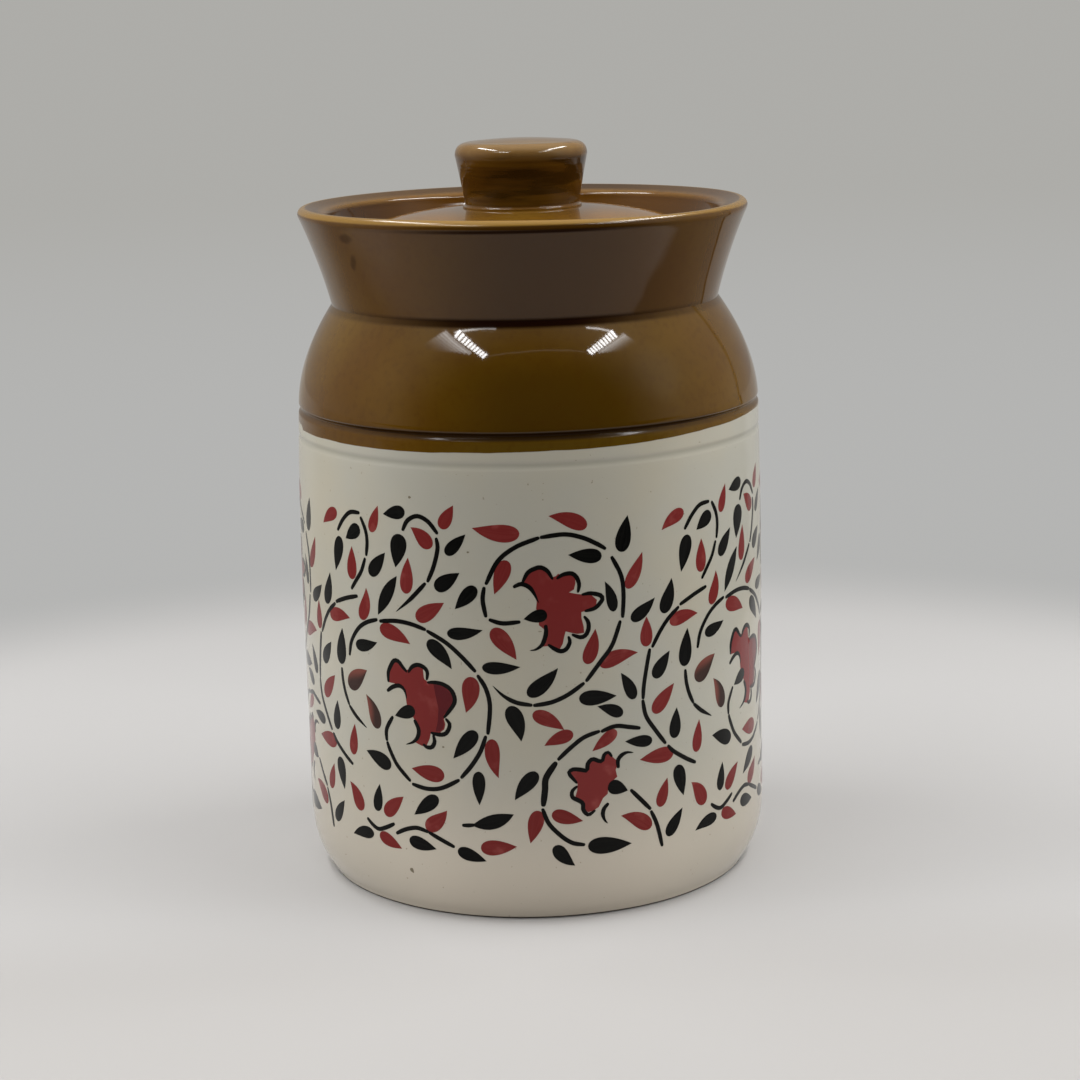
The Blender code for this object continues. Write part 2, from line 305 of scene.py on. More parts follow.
def lid_outline():
    """Dome, rounded edge, locating flange and hollow underside."""
    flange_outer = gallery_radius() - GALLERY_WIDTH - FLANGE_CLEARANCE
    flange_inner = flange_outer - FLANGE_WALL
    top_radius = LID_RADIUS - LID_EDGE
    top = dome_height(top_radius)
    low = LID_LOW.z
    half = LID_EDGE / 2
    edge = bend(
        (top_radius, top),
        (LID_RADIUS, top - LID_EDGE * LID_ROUND_SHARE),
        (LID_RADIUS, top - LID_EDGE),
        FEW,
    )
    flange = corner((LID_RADIUS, LID_SEAT), (0.0, half), (-half, 0.0))
    flange.append((flange_outer, LID_SEAT))
    flange += corner((flange_outer, low), (0.0, FLANGE_EDGE), (-FLANGE_EDGE, 0.0))
    flange += corner((flange_inner, low), (FLANGE_EDGE, 0.0), (0.0, FLANGE_EDGE))
    underside = dome(flange_inner, 0.0, MANY, LID_THICKNESS)
    return dome(0.0, top_radius, 2 * MANY) + edge[1:] + flange + underside


def knob_outline():
    """Flat-topped knob, flared out of a fillet on the dome."""
    flat = KNOB_RADIUS * KNOB_FLAT_SHARE
    flat_height = KNOB_HIGH.z - KNOB_CROWN
    top = [(r, KNOB_HIGH.z - KNOB_CROWN * (r / flat) ** 2) for r in spaced(0.0, flat, FEW)]
    edge = bend((flat, flat_height), (KNOB_RADIUS, flat_height), (KNOB_RADIUS, flat_height - KNOB_SHOULDER))
    skirt_radius = KNOB_NECK + KNOB_FILLET
    skirt_bottom = dome_height(skirt_radius) + KNOB_GAP
    skirt_top = skirt_bottom + SEAT_GAP + KNOB_SKIRT
    neck_top = (KNOB_NECK, skirt_top + KNOB_FILLET)
    side = between(edge[-1], neck_top, MANY)
    fillet = bend(neck_top, (KNOB_NECK, skirt_top), (skirt_radius - KNOB_BEAD, skirt_top), FEW)
    bead = corner((skirt_radius, skirt_top), (-KNOB_BEAD, 0.0), (0.0, -KNOB_BEAD))
    return top + edge[1:] + side + fillet + bead[1:] + dome(skirt_radius, 0.0, FEW, -KNOB_GAP)


# Meshes

def wobble(x, y, z, seed=0.0):
    """How far the clay stands out of true at this point."""
    slow = noise.noise(Vector((x + seed, y, z)) / WOBBLE_SPAN)
    quick = noise.noise(Vector((x, y + seed, z)) / RIPPLE_SPAN)
    return WOBBLE * slow + RIPPLE * quick


def lip_sag(angle, height):
    """How far the collar hangs down here, most at the rim."""
    rise = min(1.0, max(0.0, (height - WAIST) / COLLAR_HEIGHT))
    return LIP_SAG * rise**2 * max(0.0, math.cos(angle - LIP_SAG_ANGLE)) ** LIP_SAG_POWER


def fullness(angle, height):
    """How much fuller the jar is on its right, most at the seam."""
    if height < SEAM:
        share = max(0.0, 1 + (height - SEAM) / SEAM_TAPER) ** 2
    else:
        share = max(0.0, 1 - (height - SEAM) / SHOULDER_HEIGHT)
    return RIGHT_FULLNESS * share * max(0.0, math.sin(angle)) ** 2


def on_jar(angle, radius, height, seed=0.0):
    """A point of the jar, at this angle from the front, moved by the clay's unevenness."""
    out = Vector((math.sin(angle), -math.cos(angle), 0.0))
    place = out * radius
    settled = min(1.0, radius / SETTLED_RADIUS)
    shift = (wobble(place.x, place.y, height, seed) - SHRINKAGE) * settled
    if not seed:
        shift += fullness(angle, height)
        height -= lip_sag(angle, height)
    return place + out * shift + Vector((0.0, 0.0, height))


def skin(name, outline, material, seed=0.0):
    """A closed turned skin; an outline that starts off the axis is closed on itself."""
    bm = bmesh.new()
    rings = []
    for radius, height in outline:
        if radius < MM / 100:
            rings.append([bm.verts.new((0.0, 0.0, height))])
        else:
            turns = [2 * math.pi * i / SEGMENTS for i in range(SEGMENTS)]
            rings.append([bm.verts.new(on_jar(turn, radius, height, seed)) for turn in turns])
    pairs = list(zip(rings, rings[1:]))
    if len(rings[0]) > 1:
        pairs.append((rings[-1], rings[0]))
    for first, second in pairs:
        for i in range(SEGMENTS):
            around = ((first, i), (first, i + 1), (second, i + 1), (second, i))
            bm.faces.new(list(dict.fromkeys(ring[k % len(ring)] for ring, k in around)))
    bmesh.ops.recalc_face_normals(bm, faces=bm.faces)
    return piece_from(name, bm, material)


def piece_from(name, bm, material):
    """An object of the finished mesh, smooth but for its sharp and open edges."""
    for face in bm.faces:
        face.smooth = True
    for edge in bm.edges:
        edge.smooth = edge.is_manifold and edge.calc_face_angle() < SHARP_ANGLE
    mesh = bpy.data.meshes.new(name)
    bm.to_mesh(mesh)
    bm.free()
    mesh.materials.append(material)
    piece = bpy.data.objects.new(name, mesh)
    bpy.context.scene.collection.objects.link(piece)
    return piece


# The painted vine. Places are (round the wall from the front, up from the foot) in millimetres, as one
# print, and a row holds its places one after another.

# Leaves, from their round end to their tip: base, tip, width, and how far they bow to the left, if at all
RED_LEAVES = (
    (-53, 120.7, -49.9, 129.1, 3.7), (-27.6, 123.9, -23.5, 131, 4.2),
    (-31.2, 117.6, -37.7, 123.6, 4.8, -0.6), (-40.2, 103, -39, 114.2, 4.6),
    (-58.8, 92.8, -55.8, 102.9, 4.6, -1), (-36.7, 95.4, -27.2, 101.2, 5), (-50.6, 91, -39.2, 87.4, 5, 0.8),
    (-29, 46.7, -40.3, 48, 5.2), (-36, 29.4, -28.5, 35.8, 5, -0.7), (-51.3, 31.2, -43.8, 38.3, 4.7, 0.2),
    (-54, 24.5, -45.1, 21.3, 4.2), (-19.6, 78.7, -21.3, 67.4, 5.6, 0.7),
    (-13.3, 59.4, -11.7, 47.2, 4.7, -0.8), (-17.9, 24.6, -6.7, 25.4, 4.9), (0.3, 36.8, -2.5, 26.5, 4.8),
    (4.3, 35.9, 13.7, 32.8, 4.4, -0.3), (-3.4, 122.8, -17.7, 124.4, 5.4, 0.6),
    (16.8, 123.8, 5.4, 127.8, 4.8, -0.8), (-7.4, 114.7, -11.4, 104.4, 4.8),
    (29, 104.1, 34.5, 114.6, 4.2, -0.5), (35.4, 85.2, 35.6, 94.5, 4.3), (-12.6, 93.6, -5.3, 84.3, 5.4, 0.4),
    (15.6, 82.1, 18.8, 92.6, 4.5, -0.6), (20, 81, 32.4, 83.8, 4.8, 1), (-0.9, 67.3, 8.5, 62, 4.6, 0.6),
    (11.3, 60.6, 2.5, 57.3, 4.2, -0.4), (24.9, 60.3, 17.1, 54.6, 3.9), (35.9, 27.6, 25.9, 33, 5, -1),
    (50.2, 125, 41.6, 120.4, 4.2, -0.7), (57.1, 105, 57.5, 115.4, 4.6), (44, 91.2, 55.4, 92.4, 4.5, 0.8),
    (54.1, 48.3, 55.6, 58.5, 4.1), (37.5, 64, 45.3, 72.1, 4.9), (44.8, 50.2, 32.6, 49.9, 5),
    (39.2, 33.7, 42.3, 42.5, 4), (57.1, 30.5, 51.9, 39, 5.2, -0.9),
)
BLACK_LEAVES = (
    (-39.7, 128.3, -47.8, 126.8, 4.2), (-26.2, 116.1, -19.8, 122.4, 3.8), (-41.7, 121.2, -43.6, 110.8, 5.9),
    (-53.9, 107.2, -47.5, 114.9, 4.6), (-30, 105.3, -22, 110.6, 4.7), (-17, 106.5, -23.7, 99.5, 4.4),
    (-26.5, 91.9, -15.3, 93.3, 3.9, -0.5), (-33.2, 88.9, -25.4, 80.8, 4.8, 0.7),
    (-61.5, 84.2, -51.9, 86.3, 4, -0.5), (-58, 121.6, -64.7, 117.2, 4.6), (-48.3, 47, -58.5, 50.7, 5, -0.4),
    (-31.4, 39.9, -39.9, 33.2, 4.5), (-54.8, 31.8, -53.25, 40.75, 3.9), (-42.1, 24.8, -32.5, 23, 4.3),
    (-56.6, 23.8, -66.8, 21.7, 4, -0.7), (-25.3, 23.5, -16.25, 20.5, 4.1), (-18.2, 61.6, -25.8, 52.7, 4.8),
    (-17.9, 49, -17.9, 38.4, 4.1), (0.2, 48.8, -6.9, 40.3, 4.7, -0.4), (5, 25.5, 11, 18.7, 4.3, -0.6),
    (21.3, 114.7, 11, 115.8, 4.5), (27.4, 115.4, 29.9, 126.3, 5), (24.7, 97.4, 22.1, 106.9, 3.5, -0.5),
    (30.3, 94.2, 38.6, 100, 4.2, -0.5), (-15.8, 81.8, -4.2, 82, 3.9, -0.3),
    (-2.3, 73.2, 7.1, 81.3, 4.8, -0.6), (31, 69.4, 26.7, 78.1, 3.9, -0.3), (13.3, 71.4, 25.1, 71.2, 4.8),
    (27, 65, 19, 68.5, 3.8, -0.4), (-8.2, 69.6, -4.5, 58.8, 5.3, 0.8), (37, 55.3, 27.7, 56.4, 3.8),
    (15.1, 24.6, 29.25, 23.75, 5.4), (51.6, 117.6, 48.7, 106.5, 4.9), (41.3, 94.8, 44.9, 105.1, 4.8, -0.6),
    (49.5, 76.7, 51, 88.5, 5.2), (37.9, 75, 43.75, 82.6, 4.6), (45.2, 54.6, 46.3, 64.2, 4.4),
    (46.3, 45.8, 48.5, 35.6, 4.8), (41.9, 23.8, 48, 31.7, 4.2), (4.25, 98.1, -2.8, 96.75, 4),
    (-38.4, 66.9, -45.8, 64, 4.2), (21.9, 43.3, 28.3, 40.8, 4.6),
)
BROWN_LEAVES = (
    (-53.4, 58.6, -57.6, 68.9, 4.8, -1), (-65.6, 69.7, -56.8, 76.7, 5.9, 0.5),
)
# Flecks in the glaze, only on the front
FLECKS = (
    (-38.3, 132.7, -37.3, 132.8, 0.8), (-19.5, 117, -18.7, 117.1, 0.6), (-29.4, 56, -28.6, 56, 0.6),
    (-42.2, 15.4, -41.2, 13.9, 1.3),
)
# Leaves pointed at both ends
BLACK_BLADES = (
    (-51, 95.2, -43.3, 108.1, 4.3, 0.3), (-20.5, 31.8, -7.4, 35.7, 4.6, -0.6),
)
# Vine stems as the brush drew them, with the gaps that it left
STEMS = (
    (50.6, 119.7, 53.4, 123.2, 57, 125.9, 61.2, 126.3),
    (-57.2, 124.5, -55.3, 121, -54.7, 117.5, -55.2, 113.4),
    (-55.9, 111.9, -57.6, 108, -60, 104.9, -62.4, 101.9),
    (-40.5, 122.7, -38.8, 125.6, -35.4, 127.2, -31.8, 125.8, -28.9, 122.5),
    (-29.1, 120.6, -28.8, 117.5, -30.3, 112, -32.3, 107.6), (59.2, 100, 54, 98.6, 48.3, 96.5),
    (47.3, 95.6, 43.6, 92.9, 40.4, 89.3, 37.6, 85), (36.5, 84, 35.3, 78.5, 34.3, 73, 34, 69.3),
    (33.9, 68.3, 35, 63.3, 38.3, 58.3, 41.7, 53.8), (42.9, 52.5, 45, 50.4, 50, 47.1, 53.5, 45.2),
    (-64.8, 80.5, -63.5, 85, -60, 89.5, -56, 92.1, -51.8, 93.5),
    (-50.2, 93.3, -44, 94.1, -38.5, 93.7, -33.9, 92.5), (-32.9, 92, -27, 88.9, -22.3, 85, -18.1, 80.6),
    (-17.1, 79, -14.8, 75, -13.75, 69.6, -14.6, 61.25), (-15.4, 60, -17.1, 55.4, -20, 50.8, -23.3, 46.9),
    (-24.4, 45.8, -30, 42.9, -35, 42.1, -40, 42.9), (-41.2, 44, -45.8, 48.3, -48.3, 52.5, -49.25, 54.8),
    (-49.5, 55.8, -49.4, 59.2, -46.9, 63.3), (49.9, 75.2, 50.3, 71.5, 51.4, 67.8, 53, 64.6),
    (-13.75, 107.7, -10, 114.6, -4.6, 118.75, 2.1, 121.3),
    (3.1, 121.5, 10, 122.1, 15.4, 120.8, 20, 118.5, 22.3, 117),
    (24.5, 114, 27.3, 108.3, 28, 102.5, 27.6, 95.6), (26.7, 94, 24, 87.1, 20, 82.1, 15.8, 76.9),
    (14.7, 76, 10, 72.9, 5, 70.8, -0.2, 70), (-14.5, 106.2, -15, 102.5, -14.2, 97.7),
    (-12.9, 96.5, -9.2, 95.5, -4.2, 95.9), (32.5, 60, 29.2, 60.8, 24.6, 61.7, 20.3, 60.6),
    (19.2, 60.6, 14.6, 59.2, 10.4, 56.25, 6.7, 52.9),
    (1.5, 37.1, 3.3, 32.5, 7.1, 28.3, 10.4, 26, 13.8, 25.2),
    (-59.1, 28.3, -56.7, 26.7, -54.2, 26, -50.8, 27.3, -48, 28.8),
    (-46.75, 26.1, -43.3, 27.9, -39.2, 29, -35.4, 28.3), (-34.6, 28, -31, 26.4, -26.7, 24.5),
    (29.5, 40.6, 32.6, 37.3, 35.8, 33.8), (36.25, 32.7, 38.3, 27.9, 39.9, 21.25),
    (-23.2, 31.6, -21.6, 31.7, -20, 31.9),
)
WIDE_STEMS = (
    (5.6, 51.5, 2.7, 47.1, 2.3, 43.3, 1.7, 38.75),
)
TAPERED_STEMS = (
    (-33.4, 106.6, -38.5, 101.5, -43.6, 97.3), (-1.3, 70.1, -5.8, 71, -9.6, 73.1, -12.4, 75.8),
    (53.5, 63.8, 56.6, 61.2, 61, 58.6),
)
# Flowers: the red body of each
FLOWERS = (
    (
        -2.9, 108.3, -1.25, 110.8, 0.8, 112.1, 2.7, 112.5, 4.6, 111.7, 5.8, 109.2, 7.1, 109.6, 7.9, 110.3,
        9.2, 109.4, 11.25, 110.2, 12.9, 109.2, 13, 107.1, 12.5, 105.2, 11, 104.4, 13.3, 103.8, 15.4, 103.5,
        17.9, 103, 19.5, 101.5, 19.2, 100, 17.1, 98.75, 14.6, 98.1, 14.6, 96.25, 15.2, 93.75, 15.3, 91.7,
        13.3, 91.5, 11.7, 91.9, 9.7, 92.5, 9.2, 90.8, 8.75, 88.75, 7.9, 87.3, 6.7, 87.5, 4.6, 88.3, 2.5,
        88.1, 3.1, 90.4, 4, 92.9, 2.9, 93.75, 1.7, 94.8, 1.7, 96.25, 1, 100, 1.25, 102.1, 0, 105, -1.7,
        107.1,
    ),
    (
        -47.9, 75, -47.9, 77.5, -47.1, 80, -45.4, 81.25, -43.75, 81.3, -42.3, 80, -41.25, 79, -39.6, 79.6,
        -38.3, 80.8, -36.7, 81.2, -35, 80.4, -34.8, 77.5, -34.6, 76.9, -32.9, 75.8, -30, 76, -27.5, 75.2,
        -25.4, 73.1, -24.6, 71, -25, 69.2, -26.7, 67.3, -28.1, 66.25, -28.5, 64.8, -28.1, 63.3, -28.5, 61.7,
        -30, 60.4, -31.7, 60, -33.1, 60.1, -33.5, 58.3, -34.6, 56, -36.25, 55.6, -38.75, 56.5, -37.3, 58.75,
        -37.2, 60.8, -38.5, 63.3, -39.6, 65.4, -41.25, 68.3, -41.7, 71.7, -42.5, 73.5, -44.6, 74.2, -47.9,
        74.4,
    ),
    (
        10, 49, 12.9, 49.2, 15.2, 49, 15.8, 50.8, 17.1, 51.7, 19.2, 50.8, 20, 51.25, 20.8, 52.9, 22.1, 53.3,
        23.3, 52.3, 24.8, 50.8, 25, 49.2, 24.4, 47.9, 24.9, 45.6, 22.9, 44.2, 21.9, 42.5, 21.7, 40.6, 20.2,
        39.4, 18.75, 36.7, 17.1, 35.8, 15.4, 35.4, 14.4, 36.25, 14.4, 38.3, 12.5, 39.6, 11.5, 40.8, 12.1,
        42.5, 12.3, 44.6, 10.8, 47.1,
    ),
)
# Parts of the flowers that the brush went over twice
WASHES = (
    (
        -31.6, 75.6, -29.8, 75.6, -27.6, 74.8, -25.8, 72.9, -25, 71, -25.4, 69.4, -27, 67.6, -28.5, 66.4,
        -28.9, 64.8, -28.5, 63.3, -28.9, 61.9, -30.1, 60.9, -31.4, 60.7, -30.6, 64, -30.2, 68, -31, 72,
    ),
)
# Brush strokes round the petals
PETAL_STROKES = (
    (-2.7, 108.3, -1.25, 110.9, 0.9, 112.1, 2.7, 112.4, 4.6, 111.3, 6, 109),
    (7.7, 109, 9.2, 109.9, 11.7, 110.2, 13.3, 109, 14.1, 106.7, 13.75, 104.6),
    (15.2, 103.5, 17.5, 103.7, 20.4, 102.9, 21.25, 101.7, 20.4, 100.4, 18.75, 99, 16, 98.4),
    (15.6, 96.5, 16.6, 95, 16.7, 92.9, 15.8, 91, 14.2, 90.4, 11.9, 91.3),
    (10.6, 90.6, 10.9, 89.2, 9.8, 87.1, 8.1, 86.5, 6.25, 87.3, 4.6, 88.5),
    (-47.9, 74.8, -47.8, 77.5, -46.7, 79.8, -45.4, 81.5, -43.75, 81.5, -42.1, 79.8, -41, 78.75),
    (-40, 78.75, -38.75, 80.4, -36.7, 81.2, -34.6, 80.6, -33.5, 79.2, -33.75, 77.1),
    (-33.3, 76, -30.8, 76.2, -28.3, 75.8, -26, 74.4, -24.8, 72.1, -25, 70, -26.7, 67.5, -28.25, 65.6),
    (-27.7, 64.8, -26.7, 63.5, -27.1, 61.7, -28.3, 60.2, -30.4, 59.8, -32.7, 60.1),
    (-32.2, 59.2, -31.9, 57.3, -32.9, 55.6, -34.6, 55.4, -35.6, 56),
    (
        11.9, 45.2, 10.4, 47.1, 9.7, 48.5, 11, 49.4, 13.3, 49.1, 15.2, 48.75, 15.6, 50.8, 17.1, 52.1, 19.2,
        51.25, 20.2, 51.3, 20.8, 53.1, 22.1, 53.7, 23.1, 52.5,
    ),
    (11.9, 43.75, 10.6, 42.5, 10.6, 40.6, 12.5, 39.4, 13.8, 38.3, 13.9, 36.25, 15.4, 34.6, 17.3, 35.6),
)
TAPERED_STROKES = (
    (-5.3, 106.75, -3.1, 107.5, -0.4, 106, 1.7, 102),
    (3.75, 94.4, 3.75, 92.1, 2.7, 89, 0.8, 87.4, -0.75, 87.1),
    (-48.2, 71.7, -46.25, 73.1, -43.75, 73.8, -41.9, 72.7, -41.25, 70.4),
    (-38.5, 63.3, -37.3, 60.8, -37.7, 58.3, -39.4, 56.5, -41.7, 55.5),
    (25.3, 48.75, 25.2, 50.8, 26.5, 52.3, 28.3, 52.9, 30, 52.6),
    (21.6, 37.3, 20.4, 36, 20, 34.2, 20.6, 32.3, 21.25, 31.5),
)

# Where the prints go round the wall: (degrees from the front, squeeze sideways, lift in millimetres)
PRINT_TURN = 91.3
PRINTS = ((0.0, 1.0, 0.0), (PRINT_TURN + 0.6, 1.0, 1.25), (-PRINT_TURN, 1.0, -0.3), (180.0, 0.943, 0.2))

# How the strokes are drawn, in millimetres or as shares of their length or width
STEM_WIDTH = 1.4
WIDE_STEM_WIDTH = 2.0
PETAL_WIDTH = 1.4
ACROSS = 4
LEAF_ROWS = 16
LEAF_POWER = 1.5
LEAF_SWELL = 2.598
CURVE_PARTS = 12
STEM_STEP = 0.8
STEM_CAP_REACH = (0.14, 0.26, 0.34)
STEM_CAP_WIDTH = (0.68, 0.52, 0.26)
STEM_END_WIDTH = (0.76, 0.88, 0.96, 1.0)
TAPER_SHARE = 0.5
TAPER_END_WIDTH = 0.15
PETAL_END_WIDTH = 0.65
FILL_STEP = 2.0
TIP_WIDTH = 0.08


def pairs(row):
    """The places that a row holds one after another."""
    return list(zip(row[::2], row[1::2]))


class Paint:
    """Brush strokes of one colour, as one sheet that follows the wall."""

    def __init__(self, film, seed):
        self.film = film
        self.bm = bmesh.new()
        self.stroke = self.bm.loops.layers.uv.new("stroke")
        self.tone = self.bm.verts.layers.float.new("tone")
        self.dice = random.Random(seed)

    def vertex(self, spot, place, tone):
        """A vertex of the sheet, at a place on one print."""
        turn, squeeze, lift = spot
        height = (place[1] + lift) * MM
        angle = math.radians(turn) + place[0] * squeeze * MM / BODY_RADIUS
        vertex = self.bm.verts.new(on_jar(angle, outer_radius(height) + self.film, height))
        vertex[self.tone] = tone
        return vertex

    def strip(self, spot, line, widths):
        """A stroke along a line of places, as wide as widths says at each."""
        tone = self.dice.random()
        rows = []
        for i, (u, z) in enumerate(line):
            before, after = line[max(i - 1, 0)], line[min(i + 1, len(line) - 1)]
            along = Vector((after[0] - before[0], after[1] - before[1])).normalized()
            sides = spaced(-widths[i] / 2, widths[i] / 2, ACROSS)
            rows.append([self.vertex(spot, (u - along.y * s, z + along.x * s), tone) for s in sides])
        for i, (first, second) in enumerate(zip(rows, rows[1:])):
            for j in range(ACROSS):
                face = self.bm.faces.new((first[j], second[j], second[j + 1], first[j + 1]))
                marks = ((i, j), (i + 1, j), (i + 1, j + 1), (i, j + 1))
                for loop, (row, column) in zip(face.loops, marks):
                    loop[self.stroke].uv = (row / (len(rows) - 1), column / ACROSS)

    def fill(self, spot, row):
        """A filled shape, in slices that bend with the wall."""
        flat = bmesh.new()
        flat.faces.new([flat.verts.new((u, z, 0.0)) for u, z in pairs(row)])
        bmesh.ops.recalc_face_normals(flat, faces=flat.faces)
        bmesh.ops.triangulate(flat, faces=flat.faces)
        for axis, normal in enumerate((Vector((1.0, 0.0, 0.0)), Vector((0.0, 1.0, 0.0)))):
            low, high = (limit(v.co[axis] for v in flat.verts) for limit in (min, max))
            for cut in range(int((high - low) / FILL_STEP) + 1):
                place = normal * (low + FILL_STEP * (cut + 0.5))
                everything = flat.verts[:] + flat.edges[:] + flat.faces[:]
                bmesh.ops.bisect_plane(flat, geom=everything, plane_co=place, plane_no=normal)
        tone = self.dice.random()
        made = {v: self.vertex(spot, v.co.xy, tone) for v in flat.verts}
        for face in flat.faces:
            corners = [made[v] for v in face.verts]
            self.bm.faces.new(corners if face.normal.z >= 0 else corners[::-1])
        flat.free()

    def finished(self, name, material):
        """The sheet with its thickness, as an object on the jar."""
        piece = piece_from(name, self.bm, material)
        shell = piece.modifiers.new("film", "SOLIDIFY")
        shell.thickness = FILM_DEPTH + self.film
        shell.offset = -1.0
        return piece


def flowing(points):
    """Evenly spaced places on a smooth line through the points."""
    dense = []
    ends = [points[0], *points, points[-1]]
    for four in zip(ends, ends[1:], ends[2:], ends[3:]):
        for t in spaced(0.0, 1.0, CURVE_PARTS)[:-1]:
            weights = (-t + 2 * t**2 - t**3, 2 - 5 * t**2 + 3 * t**3, t + 4 * t**2 - 3 * t**3, t**3 - t**2)
            dense.append(tuple(sum(w * v for w, v in zip(weights, axis)) / 2 for axis in zip(*four)))
    dense.append(points[-1])
    lengths = [0.0]
    for a, b in zip(dense, dense[1:]):
        lengths.append(lengths[-1] + math.dist(a, b))
    line = []
    at = 0
    for wanted in spaced(0.0, lengths[-1], max(4, round(lengths[-1] / STEM_STEP))):
        while at < len(dense) - 2 and lengths[at + 1] < wanted:
            at += 1
        share = (wanted - lengths[at]) / max(lengths[at + 1] - lengths[at], 1e-9)
        line.append(tuple(p + (q - p) * share for p, q in zip(dense[at], dense[at + 1])))
    return line


def leaf(paint, spot, row, blade=False):
    """A leaf, round at its base and pointed at its tip, or a blade pointed at both ends."""
    base, tip, width, bow = Vector(row[:2]), Vector(row[2:4]), row[4], sum(row[5:])
    along = tip - base
    side = Vector((-along.y, along.x)).normalized()
    line, widths = [], []
    for share in spaced(0.0, 1.0, LEAF_ROWS):
        t = share if blade else share**LEAF_POWER
        bulge = 4 * t * (1 - t)
        line.append(tuple(base + along * t + side * bow * bulge))
        widths.append(max(TIP_WIDTH, width * (bulge if blade else LEAF_SWELL * math.sqrt(t) * (1 - t))))
    paint.strip(spot, line, widths)


def tapering(way):
    """Width of a stroke that runs out to a point, at this share of its way."""
    return min(1.0, max(TAPER_END_WIDTH, (1 - way) / TAPER_SHARE))


def swelling(way):
    """Width of a stroke that swells in its middle, at this share of its way."""
    return PETAL_END_WIDTH + (1 - PETAL_END_WIDTH) * math.sin(math.pi * way)


def stem(paint, spot, row, width, shape=None):
    """A brush line with rounded ends, which may run out to a point or swell in its middle."""
    line = flowing(pairs(row))
    last = len(line) - 1
    widths = [width * STEM_END_WIDTH[min(i, last - i, len(STEM_END_WIDTH) - 1)] for i in range(last + 1)]
    start_caps, end_caps = (
        [tuple(end + (end - inner).normalized() * width * reach) for reach in STEM_CAP_REACH]
        for end, inner in ((Vector(line[0]), Vector(line[1])), (Vector(line[-1]), Vector(line[-2])))
    )
    line = start_caps[::-1] + line + end_caps
    caps = [width * share for share in STEM_CAP_WIDTH]
    widths = caps[::-1] + widths + caps
    if shape:
        widths = [w * shape(i / (len(line) - 1)) for i, w in enumerate(widths)]
    paint.strip(spot, line, widths)


# Finishes

def put(value, socket):
    """Links a socket to an input, or sets the input to a number, a vector or a colour."""
    if isinstance(value, bpy.types.NodeSocket):
        socket.id_data.links.new(value, socket)
    else:
        socket.default_value = (*value, 1.0) if socket.type == "RGBA" else value


def node(tree, kind, *values, operation=None, **named):
    """A node with its first inputs and its named inputs given; _ stands for a space."""
    made = tree.nodes.new(kind)
    if operation:
        made.operation = operation
    for socket, value in zip(made.inputs, values):
        put(value, socket)
    for name, value in named.items():
        put(value, made.inputs[name.replace("_", " ")])
    return made


def maths(operation, result, *values, kind="ShaderNodeMath", output=0):
    """The result of one kind of sum, for a socket and more values in turn."""
    for value in values:
        result = node(result.id_data, kind, result, value, operation=operation).outputs[output]
    return result


plus = partial(maths, "ADD")
less = partial(maths, "SUBTRACT")
times = partial(maths, "MULTIPLY")
either = partial(maths, "MAXIMUM")
dot = partial(maths, "DOT_PRODUCT", kind="ShaderNodeVectorMath", output="Value")
distance = partial(maths, "DISTANCE", kind="ShaderNodeVectorMath", output="Value")
ORIGIN = (0.0, 0.0, 0.0)


def away(value, centre=0.0):
    """How far a value is from a centre."""
    return maths("ABSOLUTE", less(value, centre), 0.0)


def ramp(value, low, high, to_low=0.0, to_high=1.0):
    """The value, spread smoothly from low..high to to_low..to_high."""
    made = node(value.id_data, "ShaderNodeMapRange", value, low, high, to_low, to_high)
    made.interpolation_type = "SMOOTHSTEP"
    return made.outputs["Result"]


def near(value, centre, inner, outer, most=1.0):
    """The most within inner of the centre, 0 beyond outer."""
    return ramp(away(value, centre), inner, outer, most, 0.0)


def aside(x, start, end, ahead=0.0, beside=1.0, centre=0.0):
    """One value ahead and another beside, changing between two shares of the jar's radius."""
    return ramp(away(x, centre), start * BODY_RADIUS, end * BODY_RADIUS, ahead, beside)


def mixed(tint, *layers):
    """A colour with others laid over it, each by its share."""
    for share, colour in layers:
        made = node(share.id_data, "ShaderNodeMix", share)
        made.data_type = "RGBA"
        put(tint, made.inputs[6])
        put(colour, made.inputs[7])
        tint = made.outputs[2]
    return tint


def clouds(place, scale, detail=3.0, stretch=(1.0, 1.0, 1.0), shift=(0.0, 0.0, 0.0)):
    """Cloudy noise, about one feature in each 1/scale of a metre."""
    moved = node(place.id_data, "ShaderNodeMapping", place, shift, Scale=stretch).outputs[0]
    return node(place.id_data, "ShaderNodeTexNoise", Vector=moved, Scale=scale, Detail=detail).outputs["Fac"]


def located(owner, coordinates="Object"):
    """The place, x, y and z that a node tree starts from."""
    owner.use_nodes = True
    place = node(owner.node_tree, "ShaderNodeTexCoord").outputs[coordinates]
    return place, *node(owner.node_tree, "ShaderNodeSeparateXYZ", place).outputs


def seen(tree):
    """1 where the camera sees the surface itself, 0 in reflections."""
    return node(tree, "ShaderNodeLightPath").outputs["Is Camera Ray"]


class Finish:
    """A procedural material under construction."""

    def __init__(self, name, roughness):
        self.material = bpy.data.materials.new(name)
        self.place, self.x, self.y, self.z = located(self.material)
        self.tree = self.material.node_tree
        self.shader = self.tree.nodes["Principled BSDF"]
        self.look(Roughness=roughness)

    def noise(self, *how):
        """Cloudy noise on the surface."""
        return clouds(self.place, *how)

    def look(self, **inputs):
        """Sets or links inputs of the shader; _ stands for a space."""
        for name, value in inputs.items():
            put(value, self.shader.inputs[name.replace("_", " ")])

    def bump(self, height, distance, strength):
        """Fine relief."""
        relief = node(self.tree, "ShaderNodeBump", Height=height, Distance=distance, Strength=strength)
        self.look(Normal=relief.outputs[0])


